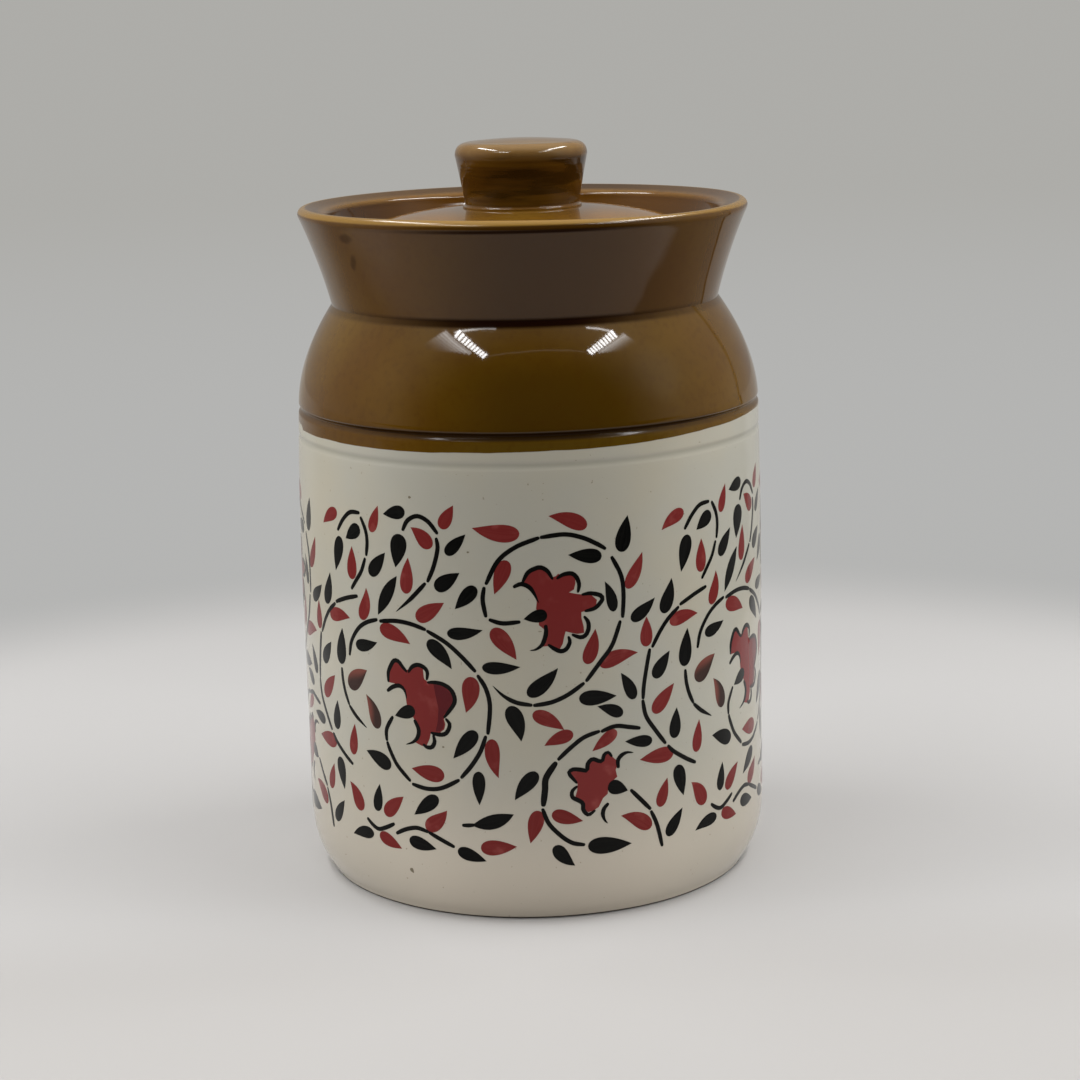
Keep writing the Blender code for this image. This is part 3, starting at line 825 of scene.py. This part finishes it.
CREAM = (0.37, 0.355, 0.30)
CREAM_WARM = (0.39, 0.36, 0.285)
CREAM_COOL = (0.34, 0.34, 0.295)
# Painted light at the foot from the floor, and painted shade at the foot's sides
CREAM_FOOT_LIT = (0.50, 0.445, 0.365)
CREAM_FOOT_SIDE_SHADE = (0.41, 0.37, 0.305)
CREAM_SHADE = (0.24, 0.235, 0.19)
CREAM_SPECK = (0.14, 0.10, 0.06)
# Painted contact shadow on the foot's edge, just above the floor
FOOT_CONTACT_SHADOW = (0.05, 0.04, 0.028)
CLAY = (0.50, 0.40, 0.29)
BROWN = (0.085, 0.037, 0.002)
BROWN_DARK = (0.050, 0.018, 0.001)
# Darkest brown: glaze run thick in the seam's groove, the crease at the shoulder's top and under the lip,
# with painted shade there, most at the front
BROWN_POOLED_AND_SHADED = (0.008, 0.002, 0.0005)
OLIVE = (0.108, 0.054, 0.004)
# Painted shade: the brown glaze's colours at the front of the shoulder and band
SHOULDER_FRONT_SHADE = (0.048, 0.023, 0.001)
BAND_FRONT_SHADE = (0.075, 0.041, 0.003)
HONEY = (0.28, 0.155, 0.028)
COLLAR_BROWN = (0.072, 0.029, 0.002)
COLLAR_OLIVE = (0.082, 0.037, 0.002)
# Painted shade at the collar's front
COLLAR_FRONT_SHADE = (0.041, 0.0165, 0.001)
# Painted light: the collar's inside is lighter than its outside, most on the lip's inner slope that faces up
INNER_LIT_BROWN = (0.145, 0.062, 0.006)
INNER_LIT_OLIVE = (0.16, 0.078, 0.010)
# Painted shade deeper inside the collar, darkest on its left
INNER_WALL_SHADE = (0.085, 0.034, 0.003)
INNER_WALL_LEFT_SHADE = (0.052, 0.020, 0.002)
LID_BROWN = (0.125, 0.054, 0.005)
LID_OLIVE = (0.15, 0.075, 0.010)
# Painted sheen on the dome's sides and back
LID_SHEEN = (0.25, 0.115, 0.020)
KNOB_TOP = (0.200, 0.115, 0.038)
KNOB_SIDE = (0.046, 0.018, 0.002)
KNOB_SIDE_LIGHT = (0.070, 0.030, 0.003)
KNOB_STROKE = (0.020, 0.008, 0.001)
BLACK = (0.002, 0.002, 0.002)
BLACK_WORN = (0.007, 0.007, 0.006)
RED = (0.20, 0.034, 0.032)
RED_LEAF = (0.165, 0.024, 0.022)
RED_DEEP = (0.13, 0.014, 0.013)
RED_THIN = (0.29, 0.075, 0.065)
RED_WASH = (0.070, 0.012, 0.016)
RUSSET = (0.046, 0.025, 0.020)
RUSSET_DEEP = (0.030, 0.018, 0.016)
RUSSET_THIN = (0.060, 0.032, 0.024)
RUSSET_TIP = (0.150, 0.048, 0.036)
FLECK = (0.16, 0.135, 0.095)
FLECK_THIN = (0.24, 0.22, 0.17)

GLAZE_ROUGHNESS = 0.05
BODY_ROUGHNESS = 0.13
CLAY_ROUGHNESS = 0.85
LIP_ROUGHNESS = 0.2
FULL_SHINE = 0.5
COLLAR_SHINE = 0.33
PAINT_SHINE = 0.08
PAINT_SIDE_SHINE = 0.35
POOLED_SHINE = 0.02
# Shares of thick glaze and painted shade in the seam's groove and under the lip, and what is left of them at
# the jar's sides
SEAM_POOLED_AND_SHADED = 0.82
UNDER_LIP_POOLED_AND_SHADED = 0.85
SIDE_POOLED_AND_SHADED = 0.3
GRAIN_DEPTH = 0.02 * MM

GLAZE_LINE = 147.05 * MM
GLAZE_LINE_TILT = 0.8 * MM
GLAZE_LINE_RISE = 1.5 * MM
GLAZE_LINE_STEP = 1.5 * MM
GLAZE_LINE_WAVER = 2.0 * MM
FRONT_SHADE_OFFSET = 10.0 * MM

# Smudges where the collar's glaze ran thick: x, z, half width and half height
GLAZE_SPOTS = (
    (-53.4 * MM, 208.2 * MM, 2.6 * MM, 1.9 * MM),
    (-51.4 * MM, 200.8 * MM, 1.3 * MM, 2.9 * MM),
)
GLAZE_SPOT_SHARE = 0.45

# The brush's streaks: how fine they are along a stroke and across it, and what sets strokes apart
STREAKS = (1.2, 7.0, 1.0)
STREAK_SHIFT = 37.0


def cream_over(finish):
    """Colour of the white glaze: clouded, with fine specks, and painted lighter and warmer at the foot for
    light from the floor, less so at its sides as painted shade.
    """
    # Painted light and shade at the foot: lighter in front, less so at the sides
    foot = mixed(CREAM_FOOT_LIT, (aside(finish.x, 0.35, 0.85), CREAM_FOOT_SIDE_SHADE))
    return mixed(
        CREAM,
        (ramp(finish.noise(22.0), 0.35, 0.65), CREAM_WARM),
        (ramp(finish.noise(9.0), 0.4, 0.7, 0.0, 0.6), CREAM_COOL),
        (ramp(finish.z, 10 * MM, 60 * MM, 1.0, 0.0), foot),
        (ramp(finish.noise(900.0, 1.0), 0.76, 0.80, 0.0, 0.5), CREAM_SPECK),
    )


def brown_over(finish, brown=BROWN, olive=OLIVE, front=None):
    """Colour of the brown glaze: clouded and grained, with another colour laid on at the front as painted
    shade.
    """
    tint = mixed(brown, (ramp(finish.noise(30.0, 4.0), 0.35, 0.7), olive))
    # Painted shade at the front, centred a little to the right of it
    if front:
        tint = mixed(tint, (aside(finish.x, 0.15, 0.75, 0.9, 0.0, FRONT_SHADE_OFFSET), front))
    return mixed(tint, (ramp(finish.noise(420.0, 2.0), 0.45, 0.75, 0.0, 0.25), BROWN_DARK))


def body_finish():
    """White glaze below the glaze line, brown above it, unglazed clay under the foot, a painted contact
    shadow on the foot's edge, and painted shade with thick glaze in the seam's groove.
    """
    finish = Finish("body_glaze_look", BODY_ROUGHNESS)
    x, y, z = finish.x, finish.y, finish.z
    waver = times(less(finish.noise(28.0, 4.0), 0.5), GLAZE_LINE_WAVER)
    tilt = times(x, GLAZE_LINE_TILT / BODY_RADIUS)
    rise = ramp(x, 0.2 * BODY_RADIUS, BODY_RADIUS, 0.0, GLAZE_LINE_RISE)
    step = ramp(x, -0.957 * BODY_RADIUS, -0.945 * BODY_RADIUS, GLAZE_LINE_STEP, 0.0)
    step = times(step, ramp(y, -0.05 * BODY_RADIUS, 0.05 * BODY_RADIUS, 1.0, 0.0))
    above = less(z, plus(waver, tilt, rise, step, GLAZE_LINE))
    # Painted shade with thick glaze in the seam's groove, strongest at the front and weaker at the sides; the
    # glaze is dulled there too
    front_pooled_and_shaded = aside(x, 0.15, 0.95, SEAM_POOLED_AND_SHADED, SEAM_POOLED_AND_SHADED * SIDE_POOLED_AND_SHADED)
    pooled_and_shaded = times(near(z, SEAM, 0.7 * MM, 1.9 * MM), front_pooled_and_shaded)
    dull = times(near(z, SEAM, 1.6 * MM, 2.6 * MM), front_pooled_and_shaded)
    band = near(z, BAND, 0.2 * MM, BAND_GROOVE_WIDTH / 2, 0.4)
    brown = mixed(brown_over(finish, front=BAND_FRONT_SHADE), (pooled_and_shaded, BROWN_POOLED_AND_SHADED))
    # Painted contact shadow on the foot's edge, and unglazed clay under the foot
    foot_shadow_and_clay = mixed(FOOT_CONTACT_SHADOW, (ramp(z, 0.02 * MM, 0.06 * MM, 1.0, 0.0), CLAY))
    finish.look(
        Base_Color=mixed(
            cream_over(finish),
            (band, CREAM_SHADE),
            (ramp(above, -0.1 * MM, 0.1 * MM), brown),
            (ramp(z, 0.5 * MM, 0.7 * MM, 1.0, 0.0), foot_shadow_and_clay),
        ),
        Roughness=ramp(z, 0.5 * MM, 0.7 * MM, CLAY_ROUGHNESS, BODY_ROUGHNESS),
        Specular_IOR_Level=ramp(dull, 0.0, 1.0, FULL_SHINE, POOLED_SHINE),
    )
    finish.bump(finish.noise(260.0), GRAIN_DEPTH, 0.5)
    return finish.material


def collar_finish():
    """Brown glaze, thin and honey-coloured on the lip."""
    finish = Finish("collar_glaze_look", GLAZE_ROUGHNESS)
    x, y, z = finish.x, finish.y, finish.z
    lip = lip_centres()[0][0]
    reach = distance(node(finish.tree, "ShaderNodeCombineXYZ", x, y).outputs[0], ORIGIN)
    slant = (lip - WAIST_RADIUS) / (RIM - WAIST)
    middle = plus(times(less(z, RIM), slant), lip - LIP_WIDTH / 2)
    outside = ramp(less(reach, middle), -1.5 * MM, 1.5 * MM)
    # Painted shade with thick glaze in the crease at the shoulder's top, under the lip and in the seam's
    # groove, strongest at the front; the smudges below are the glaze's own
    waist_crease_shade = times(near(z, WAIST - 0.5 * MM, 0.6 * MM, 2.0 * MM), aside(x, 0.15, 0.8, 1.0, SIDE_POOLED_AND_SHADED))
    under_lip_shade = near(z, FLARE_TOP + 0.9 * MM, 0.2 * MM, 0.9 * MM, UNDER_LIP_POOLED_AND_SHADED)
    under_lip_shade = times(under_lip_shade, aside(x, 0.15, 0.7, 1.0, 0.1))
    seam = near(z, SEAM, 0.8 * MM, 1.9 * MM)
    seam = times(seam, aside(x, 0.6, 0.95, SEAM_POOLED_AND_SHADED, SEAM_POOLED_AND_SHADED * SIDE_POOLED_AND_SHADED))
    pooled_and_shaded = times(either(seam, waist_crease_shade, under_lip_shade), outside)
    ahead = ramp(y, -0.3 * BODY_RADIUS, -0.2 * BODY_RADIUS, GLAZE_SPOT_SHARE, 0.0)
    ragged = times(finish.noise(500.0), 0.9)
    for spot_x, spot_z, half_width, half_height in GLAZE_SPOTS:
        across = times(less(x, spot_x), 1 / half_width)
        up = times(less(z, spot_z), 1 / half_height)
        spot = ramp(plus(times(across, across), times(up, up), ragged), 0.5, 1.5, 1.0, 0.0)
        pooled_and_shaded = either(pooled_and_shaded, times(spot, ahead))
    bare_lip = times(
        ramp(z, RIM - 1.9 * MM, RIM - 1.2 * MM, 0.0, 0.9),
        ramp(reach, lip - 0.8 * MM, lip),
        aside(x, 0.15, 0.8, 1.0, 0.75),
    )
    upper = mixed(brown_over(finish, COLLAR_BROWN, COLLAR_OLIVE, COLLAR_FRONT_SHADE), (bare_lip, HONEY))
    # Towards the top of the shoulder the painted front shade gives way to plain brown
    high = ramp(z, WAIST - 18 * MM, WAIST - 4 * MM, 0.0, 0.75)
    lower = mixed(brown_over(finish, front=SHOULDER_FRONT_SHADE), (high, brown_over(finish)))
    collar = ramp(z, WAIST - 1 * MM, WAIST + 1 * MM)
    # Painted shade on the collar's inside below the lip, darker on the left
    wall = mixed(INNER_WALL_LEFT_SHADE, (ramp(x, -0.75 * BODY_RADIUS, -0.35 * BODY_RADIUS), INNER_WALL_SHADE))
    sunk_shade = ramp(z, RIM - 3.6 * MM, RIM - 1.8 * MM, 1.0, 0.0)
    inner = mixed(brown_over(finish, INNER_LIT_BROWN, INNER_LIT_OLIVE), (sunk_shade, wall))
    outer = mixed(lower, (collar, upper))
    flare = ramp(z, RIM - 3.5 * MM, RIM - 2.0 * MM, 1.0, 0.0)
    flare = times(flare, outside, collar, aside(x, 0.74, 0.88, 1.0, 0.3))
    keep = ramp(pooled_and_shaded, 0.0, 1.0, 1.0, POOLED_SHINE / FULL_SHINE)
    finish.look(
        Base_Color=mixed(inner, (outside, outer), (pooled_and_shaded, BROWN_POOLED_AND_SHADED)),
        Roughness=ramp(z, RIM - 3.0 * MM, RIM - 1.6 * MM, GLAZE_ROUGHNESS, LIP_ROUGHNESS),
        Specular_IOR_Level=times(ramp(flare, 0.0, 1.0, FULL_SHINE, COLLAR_SHINE), keep),
    )
    finish.bump(finish.noise(300.0), GRAIN_DEPTH, 0.25)
    return finish.material


def lid_finish():
    """Brown glaze on the dome, painted lighter at its sides and back as sheen."""
    finish = Finish("lid_glaze_look", GLAZE_ROUGHNESS)
    # Painted sheen: the dome is lighter at its sides and back
    beside = ramp(away(finish.x), 14 * MM, 27 * MM, 0.0, 0.75)
    thin = either(beside, ramp(finish.y, -12 * MM, 18 * MM, 0.0, 0.75))
    finish.look(Base_Color=mixed(brown_over(finish, LID_BROWN, LID_OLIVE), (thin, LID_SHEEN)))
    finish.bump(finish.noise(300.0), GRAIN_DEPTH, 0.5)
    return finish.material


def knob_finish():
    """Brown glaze over the fine rings that turning leaves."""
    finish = Finish("knob_glaze_look", 0.07)
    rings = finish.noise(420.0, 3.0, (0.06, 0.06, 1.0))
    dark = ramp(finish.noise(260.0, 3.0, (0.12, 0.12, 1.0)), 0.5, 0.62, 0.0, 0.85)
    grain = ramp(finish.noise(160.0, 4.0, (0.35, 1.0, 1.0)), 0.42, 0.62, 0.0, 0.4)
    upper = ramp(finish.z, KNOB_HIGH.z - 6.8 * MM, KNOB_HIGH.z - 1.2 * MM)
    neck = DOME_TOP - DOME_DIP
    finish.look(
        Base_Color=mixed(
            KNOB_SIDE,
            (ramp(rings, 0.45, 0.7), KNOB_SIDE_LIGHT),
            (dark, KNOB_STROKE),
            (upper, mixed(KNOB_TOP, (grain, LID_BROWN))),
            (ramp(finish.z, neck + 0.2 * MM, neck + 1.2 * MM, 0.8, 0.0), LID_BROWN),
        )
    )
    finish.bump(rings, 0.08 * MM, 0.6)
    return finish.material


def paint_finish(name, main, deep, thin, streaks=0.5, tip=None):
    """Brushed underglaze colour: streaked along each stroke, of another colour towards its tip, and in its
    deep colour towards the jar's sides, painted for how light falls there.
    """
    finish = Finish(name, 0.14)
    stroke = node(finish.tree, "ShaderNodeUVMap")
    stroke.uv_map = "stroke"
    attribute = node(finish.tree, "ShaderNodeAttribute")
    attribute.attribute_name = "tone"
    tone = attribute.outputs["Fac"]
    shift = node(finish.tree, "ShaderNodeCombineXYZ", Z=times(tone, STREAK_SHIFT)).outputs[0]
    tint = mixed(
        main,
        (ramp(clouds(stroke.outputs[0], 1.0, 3.0, STREAKS, shift), 0.35, 0.65, 0.0, streaks), deep),
        (ramp(finish.noise(150.0), 0.55, 0.75, 0.0, streaks), thin),
        (times(tone, 0.45), deep),
        # Painted for how light falls: towards the jar's sides the paint takes its deep colour, darker on the
        # red and brown, a little lighter on the black
        (aside(finish.x, 0.4, 1.0, 0.0, 0.55), deep),
    )
    if tip:
        along, across, _ = node(finish.tree, "ShaderNodeSeparateXYZ", stroke.outputs[0]).outputs
        tint = mixed(tint, (ramp(plus(along, across), 0.9, 1.6), tip))
    finish.look(Base_Color=tint, Specular_IOR_Level=aside(finish.x, 0.75, 1.0, PAINT_SHINE, PAINT_SIDE_SHINE))
    return finish.material


# Set: floor, walls and corners of the tent

FLOOR_RADIUS = 3.0
FLOOR_DROP = 0.02 * MM
FLOOR_NEAR = (0.50, 0.491, 0.484)
# Painted shade on the floor towards the front
FLOOR_FRONT_SHADE = (0.455, 0.442, 0.430)
FLOOR_FRONT_SHADE_SPAN = (-0.12, -0.055)
FLOOR_LIT = (0.31, 0.45)
BACKDROP = (0.46, 0.46, 0.452)
BACKDROP_FAR = (0.42, 0.415, 0.395)
BACKDROP_START = 0.5
FLOOR_FAR = (0.45, 0.445, 0.435)
FLOOR_RIGHT = (0.255, 0.25, 0.24)
FLOOR_BACK = (0.43, 0.42, 0.40)
LEFT_EDGE = (-0.27, -0.36)
RIGHT_EDGE = (0.318, 0.334)
FOLD_EDGE = (0.326, 0.340)
FOLD_SCALE = 14.0
FOLD_REACH = 0.03
TENT_FRONT = -0.36
TENT_FADE = 0.14
LEFT_TURN = math.radians(-122.0)
SEAM_TURN = math.radians(128.0)
SEAM_EDGE = (-0.024, -0.015)
SEAM_DARK = (0.06, 0.045, 0.035)
SEAM_HIGH = (0.13, 0.12, 0.11)
ROOM_DARK = (0.012, 0.012, 0.013)
ROOM_LOW = (0.30, 0.297, 0.29)
ROOM_HIGH = (0.36, 0.355, 0.35)
ROOM_BACK = (0.32, 0.316, 0.308)
ROOM_TOP = (0.65, 0.645, 0.63)
ROOM_RIGHT = (0.49, 0.485, 0.47)
RIGHT_PATCH_TURN = math.radians(72.0)
RIGHT_PATCH_LIFT = math.radians(24.0)
RIGHT_PATCH_SPAN = (0.955, 0.998)


def past(place, turn, start, end):
    """1 behind a direction round the axis, 0 in front of it."""
    x, y = math.sin(turn), -math.cos(turn)
    ahead = dot(place, (x, y, 0.0))
    slope = maths("DIVIDE", dot(place, (-y, x, 0.0)), ahead)
    return times(ramp(slope, start, end), ramp(ahead, 0.0, 0.01))


def seam_line(place):
    """1 on the thin dark seam in the tent's far right corner, 0 beside it."""
    return times(past(place, SEAM_TURN, *SEAM_EDGE), past(place, SEAM_TURN, *(-e for e in SEAM_EDGE)))


def build_floor():
    """A pale floor that keeps the jar's shadow, painted darker towards the front, and fades into the
    backdrop's grey behind, where it glows and shows the tent's walls in reflections.
    """
    bpy.ops.mesh.primitive_circle_add(vertices=96, radius=FLOOR_RADIUS, fill_type="NGON")
    floor = bpy.context.object
    floor.name = "floor"
    floor.location.z = -FLOOR_DROP
    paper = Finish("floor_paper", 0.9)
    place, x, y, tree = paper.place, paper.x, paper.y, paper.tree
    reach = distance(place, ORIGIN)
    # Painted shade: the floor darkens towards the front, from just before the jar's foot
    floor_with_front_shade = mixed(FLOOR_FRONT_SHADE, (ramp(y, *FLOOR_FRONT_SHADE_SPAN), FLOOR_NEAR))
    paper.look(Base_Color=floor_with_front_shade, Specular_IOR_Level=0.1)
    # The floor glows beyond FLOOR_LIT, though it is no lamp: the camera sees the backdrop's grey there, and
    # reflections and bounced light see the tent's floor, walls, dark front and seam
    grey = mixed(BACKDROP, (ramp(reach, BACKDROP_START, FLOOR_RADIUS), BACKDROP_FAR))
    fold = plus(times(less(paper.noise(FOLD_SCALE, 2.0), 0.5), FOLD_REACH), x)
    tent = mixed(
        FLOOR_FAR,
        (ramp(fold, *FOLD_EDGE), FLOOR_RIGHT),
        (ramp(x, *LEFT_EDGE), FLOOR_RIGHT),
        (past(place, LEFT_TURN, 0.1, -0.25), FLOOR_BACK),
        (past(place, SEAM_TURN, 0.0, 0.02), FLOOR_BACK),
        (ramp(y, TENT_FRONT, TENT_FRONT - TENT_FADE), ROOM_DARK),
        (seam_line(place), SEAM_DARK),
    )
    glow = node(tree, "ShaderNodeEmission", mixed(tent, (seen(tree), grey)))
    share = either(ramp(reach, *FLOOR_LIT), ramp(x, *RIGHT_EDGE))
    join = node(tree, "ShaderNodeMixShader", share, paper.shader.outputs[0], glow.outputs[0])
    put(join.outputs[0], tree.nodes["Material Output"].inputs["Surface"])
    floor.data.materials.append(paper.material)


def build_world():
    """Pale walls at the sides and behind; the room on the camera's side is dark."""
    world = bpy.data.worlds.new("tent")
    bpy.context.scene.world = world
    way, _, y, z = located(world, "Generated")
    turn, lift = RIGHT_PATCH_TURN, RIGHT_PATCH_LIFT
    patch = dot(way, (math.cos(lift) * math.sin(turn), -math.cos(lift) * math.cos(turn), math.sin(lift)))
    room = mixed(
        ROOM_LOW,
        (ramp(z, 0.08, 0.45), ROOM_HIGH),
        (ramp(y, 0.2, 0.7), ROOM_BACK),
        (ramp(patch, *RIGHT_PATCH_SPAN), ROOM_RIGHT),
        (ramp(z, 0.55, 0.95), ROOM_TOP),
        (seam_line(way), SEAM_HIGH),
        (ramp(y, -0.2, -0.75), ROOM_DARK),
        (seen(world.node_tree), BACKDROP_FAR),
    )
    put(room, world.node_tree.nodes["Background"].inputs["Color"])


# Lamps; the strips, glows and edges lie along the tent's ceiling, and their places are (x, y)

JAR_MIDDLE = Vector((0.0, 0.0, 0.12))
CEILING = 0.58
RAIL_HEIGHT = 0.60
STRIP_BEADS = 10
STRIP_GAP = 0.4
GLOW_SHORTENING = 0.07

# Glows beside the strips: name, side, line, first shift and step outwards, width, radiance, count
GLOWS = (
    ("left_glow", -1, (-0.285, -0.225), (-0.225, -0.40), 0.041, 0.016, 0.018, 4.6, 10),
    ("right_glow", 1, (0.38, -0.20), (0.31, -0.38), 0.036, 0.013, 0.015, 4.0, 8),
)


def panel(name, centre, size, radiance):
    """A soft rectangular lamp that faces the jar."""
    data = bpy.data.lights.new(name, "AREA")
    data.shape = "RECTANGLE"
    data.size, data.size_y = size
    data.energy = radiance * math.pi * size[0] * size[1]
    lamp = bpy.data.objects.new(name, data)
    lamp.location = centre
    lamp.rotation_mode = "QUATERNION"
    lamp.rotation_quaternion = (JAR_MIDDLE - Vector(centre)).to_track_quat("-Z", "Y")
    lamp.visible_camera = False
    bpy.context.scene.collection.objects.link(lamp)
    return lamp


def soft(name, centre, size, radiance):
    """A soft lamp that lights the set without showing in the glaze."""
    panel(name, centre, size, radiance).visible_glossy = False


def bar(name, start, end, width, radiance, height=CEILING):
    """A thin lamp between two places, facing down on the jar."""
    start, end = Vector((*start, height)), Vector((*end, height))
    lamp = panel(name, (start + end) / 2, ((end - start).length, width), radiance)
    facing = (JAR_MIDDLE - lamp.location).normalized()
    side = (end - start).normalized().cross(facing).normalized()
    lamp.rotation_quaternion = Matrix((facing.cross(side), side, -facing)).transposed().to_quaternion()


def beads(name, start, end, width, radiance):
    """A strip of separate lamps between two places."""
    start, end = Vector(start), Vector(end)
    for i in range(STRIP_BEADS):
        low = start.lerp(end, (i + STRIP_GAP / 2) / STRIP_BEADS)
        high = start.lerp(end, (i + 1 - STRIP_GAP / 2) / STRIP_BEADS)
        bar(f"{name}_{i}", low, high, width, radiance)


def build_lights():
    """Soft panels all round, and the strips along the tent's ceiling that show in the shoulder."""
    soft("ceiling", (0.0, 0.10, 0.80), (0.9, 0.7), 0.25)
    soft("front", (0.0, -1.30, 0.50), (1.2, 0.6), 1.5)
    soft("left", (-0.80, -0.05, 0.35), (0.8, 0.6), 3.55)
    soft("right", (0.80, -0.05, 0.35), (0.8, 0.6), 3.35)
    bar("left_rail", (-0.26, -0.15), (-0.26, 0.20), 0.04, 24.0, RAIL_HEIGHT)
    bar("right_rail", (0.30, -0.17), (0.30, 0.20), 0.04, 24.0, RAIL_HEIGHT)
    bar("front_edge", (-0.199, -0.454), (0.300, -0.406), 0.003, 1.2)
    for name, side, start, end, first, step, width, radiance, count in GLOWS:
        start, end = Vector(start), Vector(end)
        for i in range(count):
            shift = Vector((side * (first + step * i), 0.0))
            short = end.lerp(start, GLOW_SHORTENING * i)
            bar(f"{name}_{i}", start + shift, short + shift, width, radiance * (1 - i / count) ** 3)
    beads("left_strip", (-0.276, -0.258), (-0.199, -0.454), 0.03, 28.0)
    bar("left_return", (-0.276, -0.258), (-0.114, -0.297), 0.007, 11.0)
    beads("right_strip", (0.370, -0.225), (0.300, -0.406), 0.03, 28.0)
    bar("right_return", (0.354, -0.228), (0.242, -0.261), 0.007, 11.0)


# Camera, fitted to the photograph's outlines
CAMERA_PLACE = (0.0, -0.7963, 0.2782)
CAMERA_PITCH = 0.2148
CAMERA_YAW = 0.0037
CAMERA_ROLL = -0.0250
LENS = 83.17
SENSOR = 36.0


def build_camera():
    """The photograph's viewpoint."""
    data = bpy.data.cameras.new("camera")
    data.lens = LENS
    data.sensor_width = SENSOR
    camera = bpy.data.objects.new("camera", data)
    turn = Matrix.Rotation(-CAMERA_YAW, 4, "Z") @ Matrix.Rotation(math.pi / 2 - CAMERA_PITCH, 4, "X")
    camera.matrix_world = Matrix.Translation(CAMERA_PLACE) @ turn @ Matrix.Rotation(CAMERA_ROLL, 4, "Z")
    bpy.context.scene.collection.objects.link(camera)
    bpy.context.scene.camera = camera


# Pieces

def build_vessel():
    """Skins of the four sections."""
    base = skin("base_skin", base_outline(), body_finish())
    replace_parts(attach(base, "jar"), "jar_base")
    collar = skin("collar_skin", collar_outline(), collar_finish())
    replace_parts(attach(collar, "jar"), "shoulder_collar")
    lid = skin("lid_skin", lid_outline(), lid_finish(), seed=1.0)
    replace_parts(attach(lid, "lid"), "lid_disc")
    knob = skin("knob_skin", knob_outline(), knob_finish(), seed=2.0)
    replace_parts(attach(knob, "lid"), "lid_knob")


def build_vine():
    """The painted vine, one sheet for each kind of stroke."""
    black = paint_finish("black_paint", BLACK, BLACK_WORN, BLACK_WORN)
    red = paint_finish("red_paint", RED, RED_DEEP, RED_THIN)
    leaf_red = paint_finish("red_leaf_paint", RED_LEAF, RED_DEEP, RED_THIN)
    wash = paint_finish("red_wash_paint", RED_WASH, RED_DEEP, RED_DEEP, 0.3)
    brown = paint_finish("brown_paint", RUSSET, RUSSET_DEEP, RUSSET_THIN, tip=RUSSET_TIP)
    pale = paint_finish("fleck_paint", FLECK, FLECK, FLECK_THIN)
    stems = (
        (stem, STEMS, STEM_WIDTH),
        (stem, WIDE_STEMS, WIDE_STEM_WIDTH),
        (stem, TAPERED_STEMS, STEM_WIDTH, tapering),
    )
    petals = (
        (stem, PETAL_STROKES, PETAL_WIDTH, swelling),
        (stem, TAPERED_STROKES, PETAL_WIDTH, tapering),
    )
    for name, slot, material, film, seed, prints, strokes in (
        ("red_leaves", "paint_red", leaf_red, RED_FILM, 1, PRINTS, ((leaf, RED_LEAVES),)),
        ("glaze_flecks", "paint_brown", pale, RED_FILM, 8, PRINTS[:1], ((leaf, FLECKS),)),
        ("red_flowers", "paint_red", red, RED_FILM, 2, PRINTS, ((Paint.fill, FLOWERS),)),
        ("flower_washes", "paint_red", wash, WASH_FILM, 7, PRINTS, ((Paint.fill, WASHES),)),
        ("black_leaves", "paint_black", black, BLACK_FILM, 3, PRINTS,
         ((leaf, BLACK_LEAVES), (leaf, BLACK_BLADES, True))),
        ("brown_leaves", "paint_brown", brown, RED_FILM, 4, PRINTS, ((leaf, BROWN_LEAVES),)),
        ("vine_stems", "paint_black", black, BLACK_FILM, 5, PRINTS, stems),
        ("flower_outlines", "paint_black", black, BLACK_FILM, 6, PRINTS, petals),
    ):
        paint = Paint(film, seed)
        for spot in prints:
            for draw, rows, *options in strokes:
                for row in rows:
                    draw(paint, spot, row, *options)
        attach(paint.finished(name, material), "jar")


bpy.context.scene.view_settings.view_transform = "Standard"
build_camera()
build_floor()
build_world()
build_lights()
build_vessel()
build_vine()
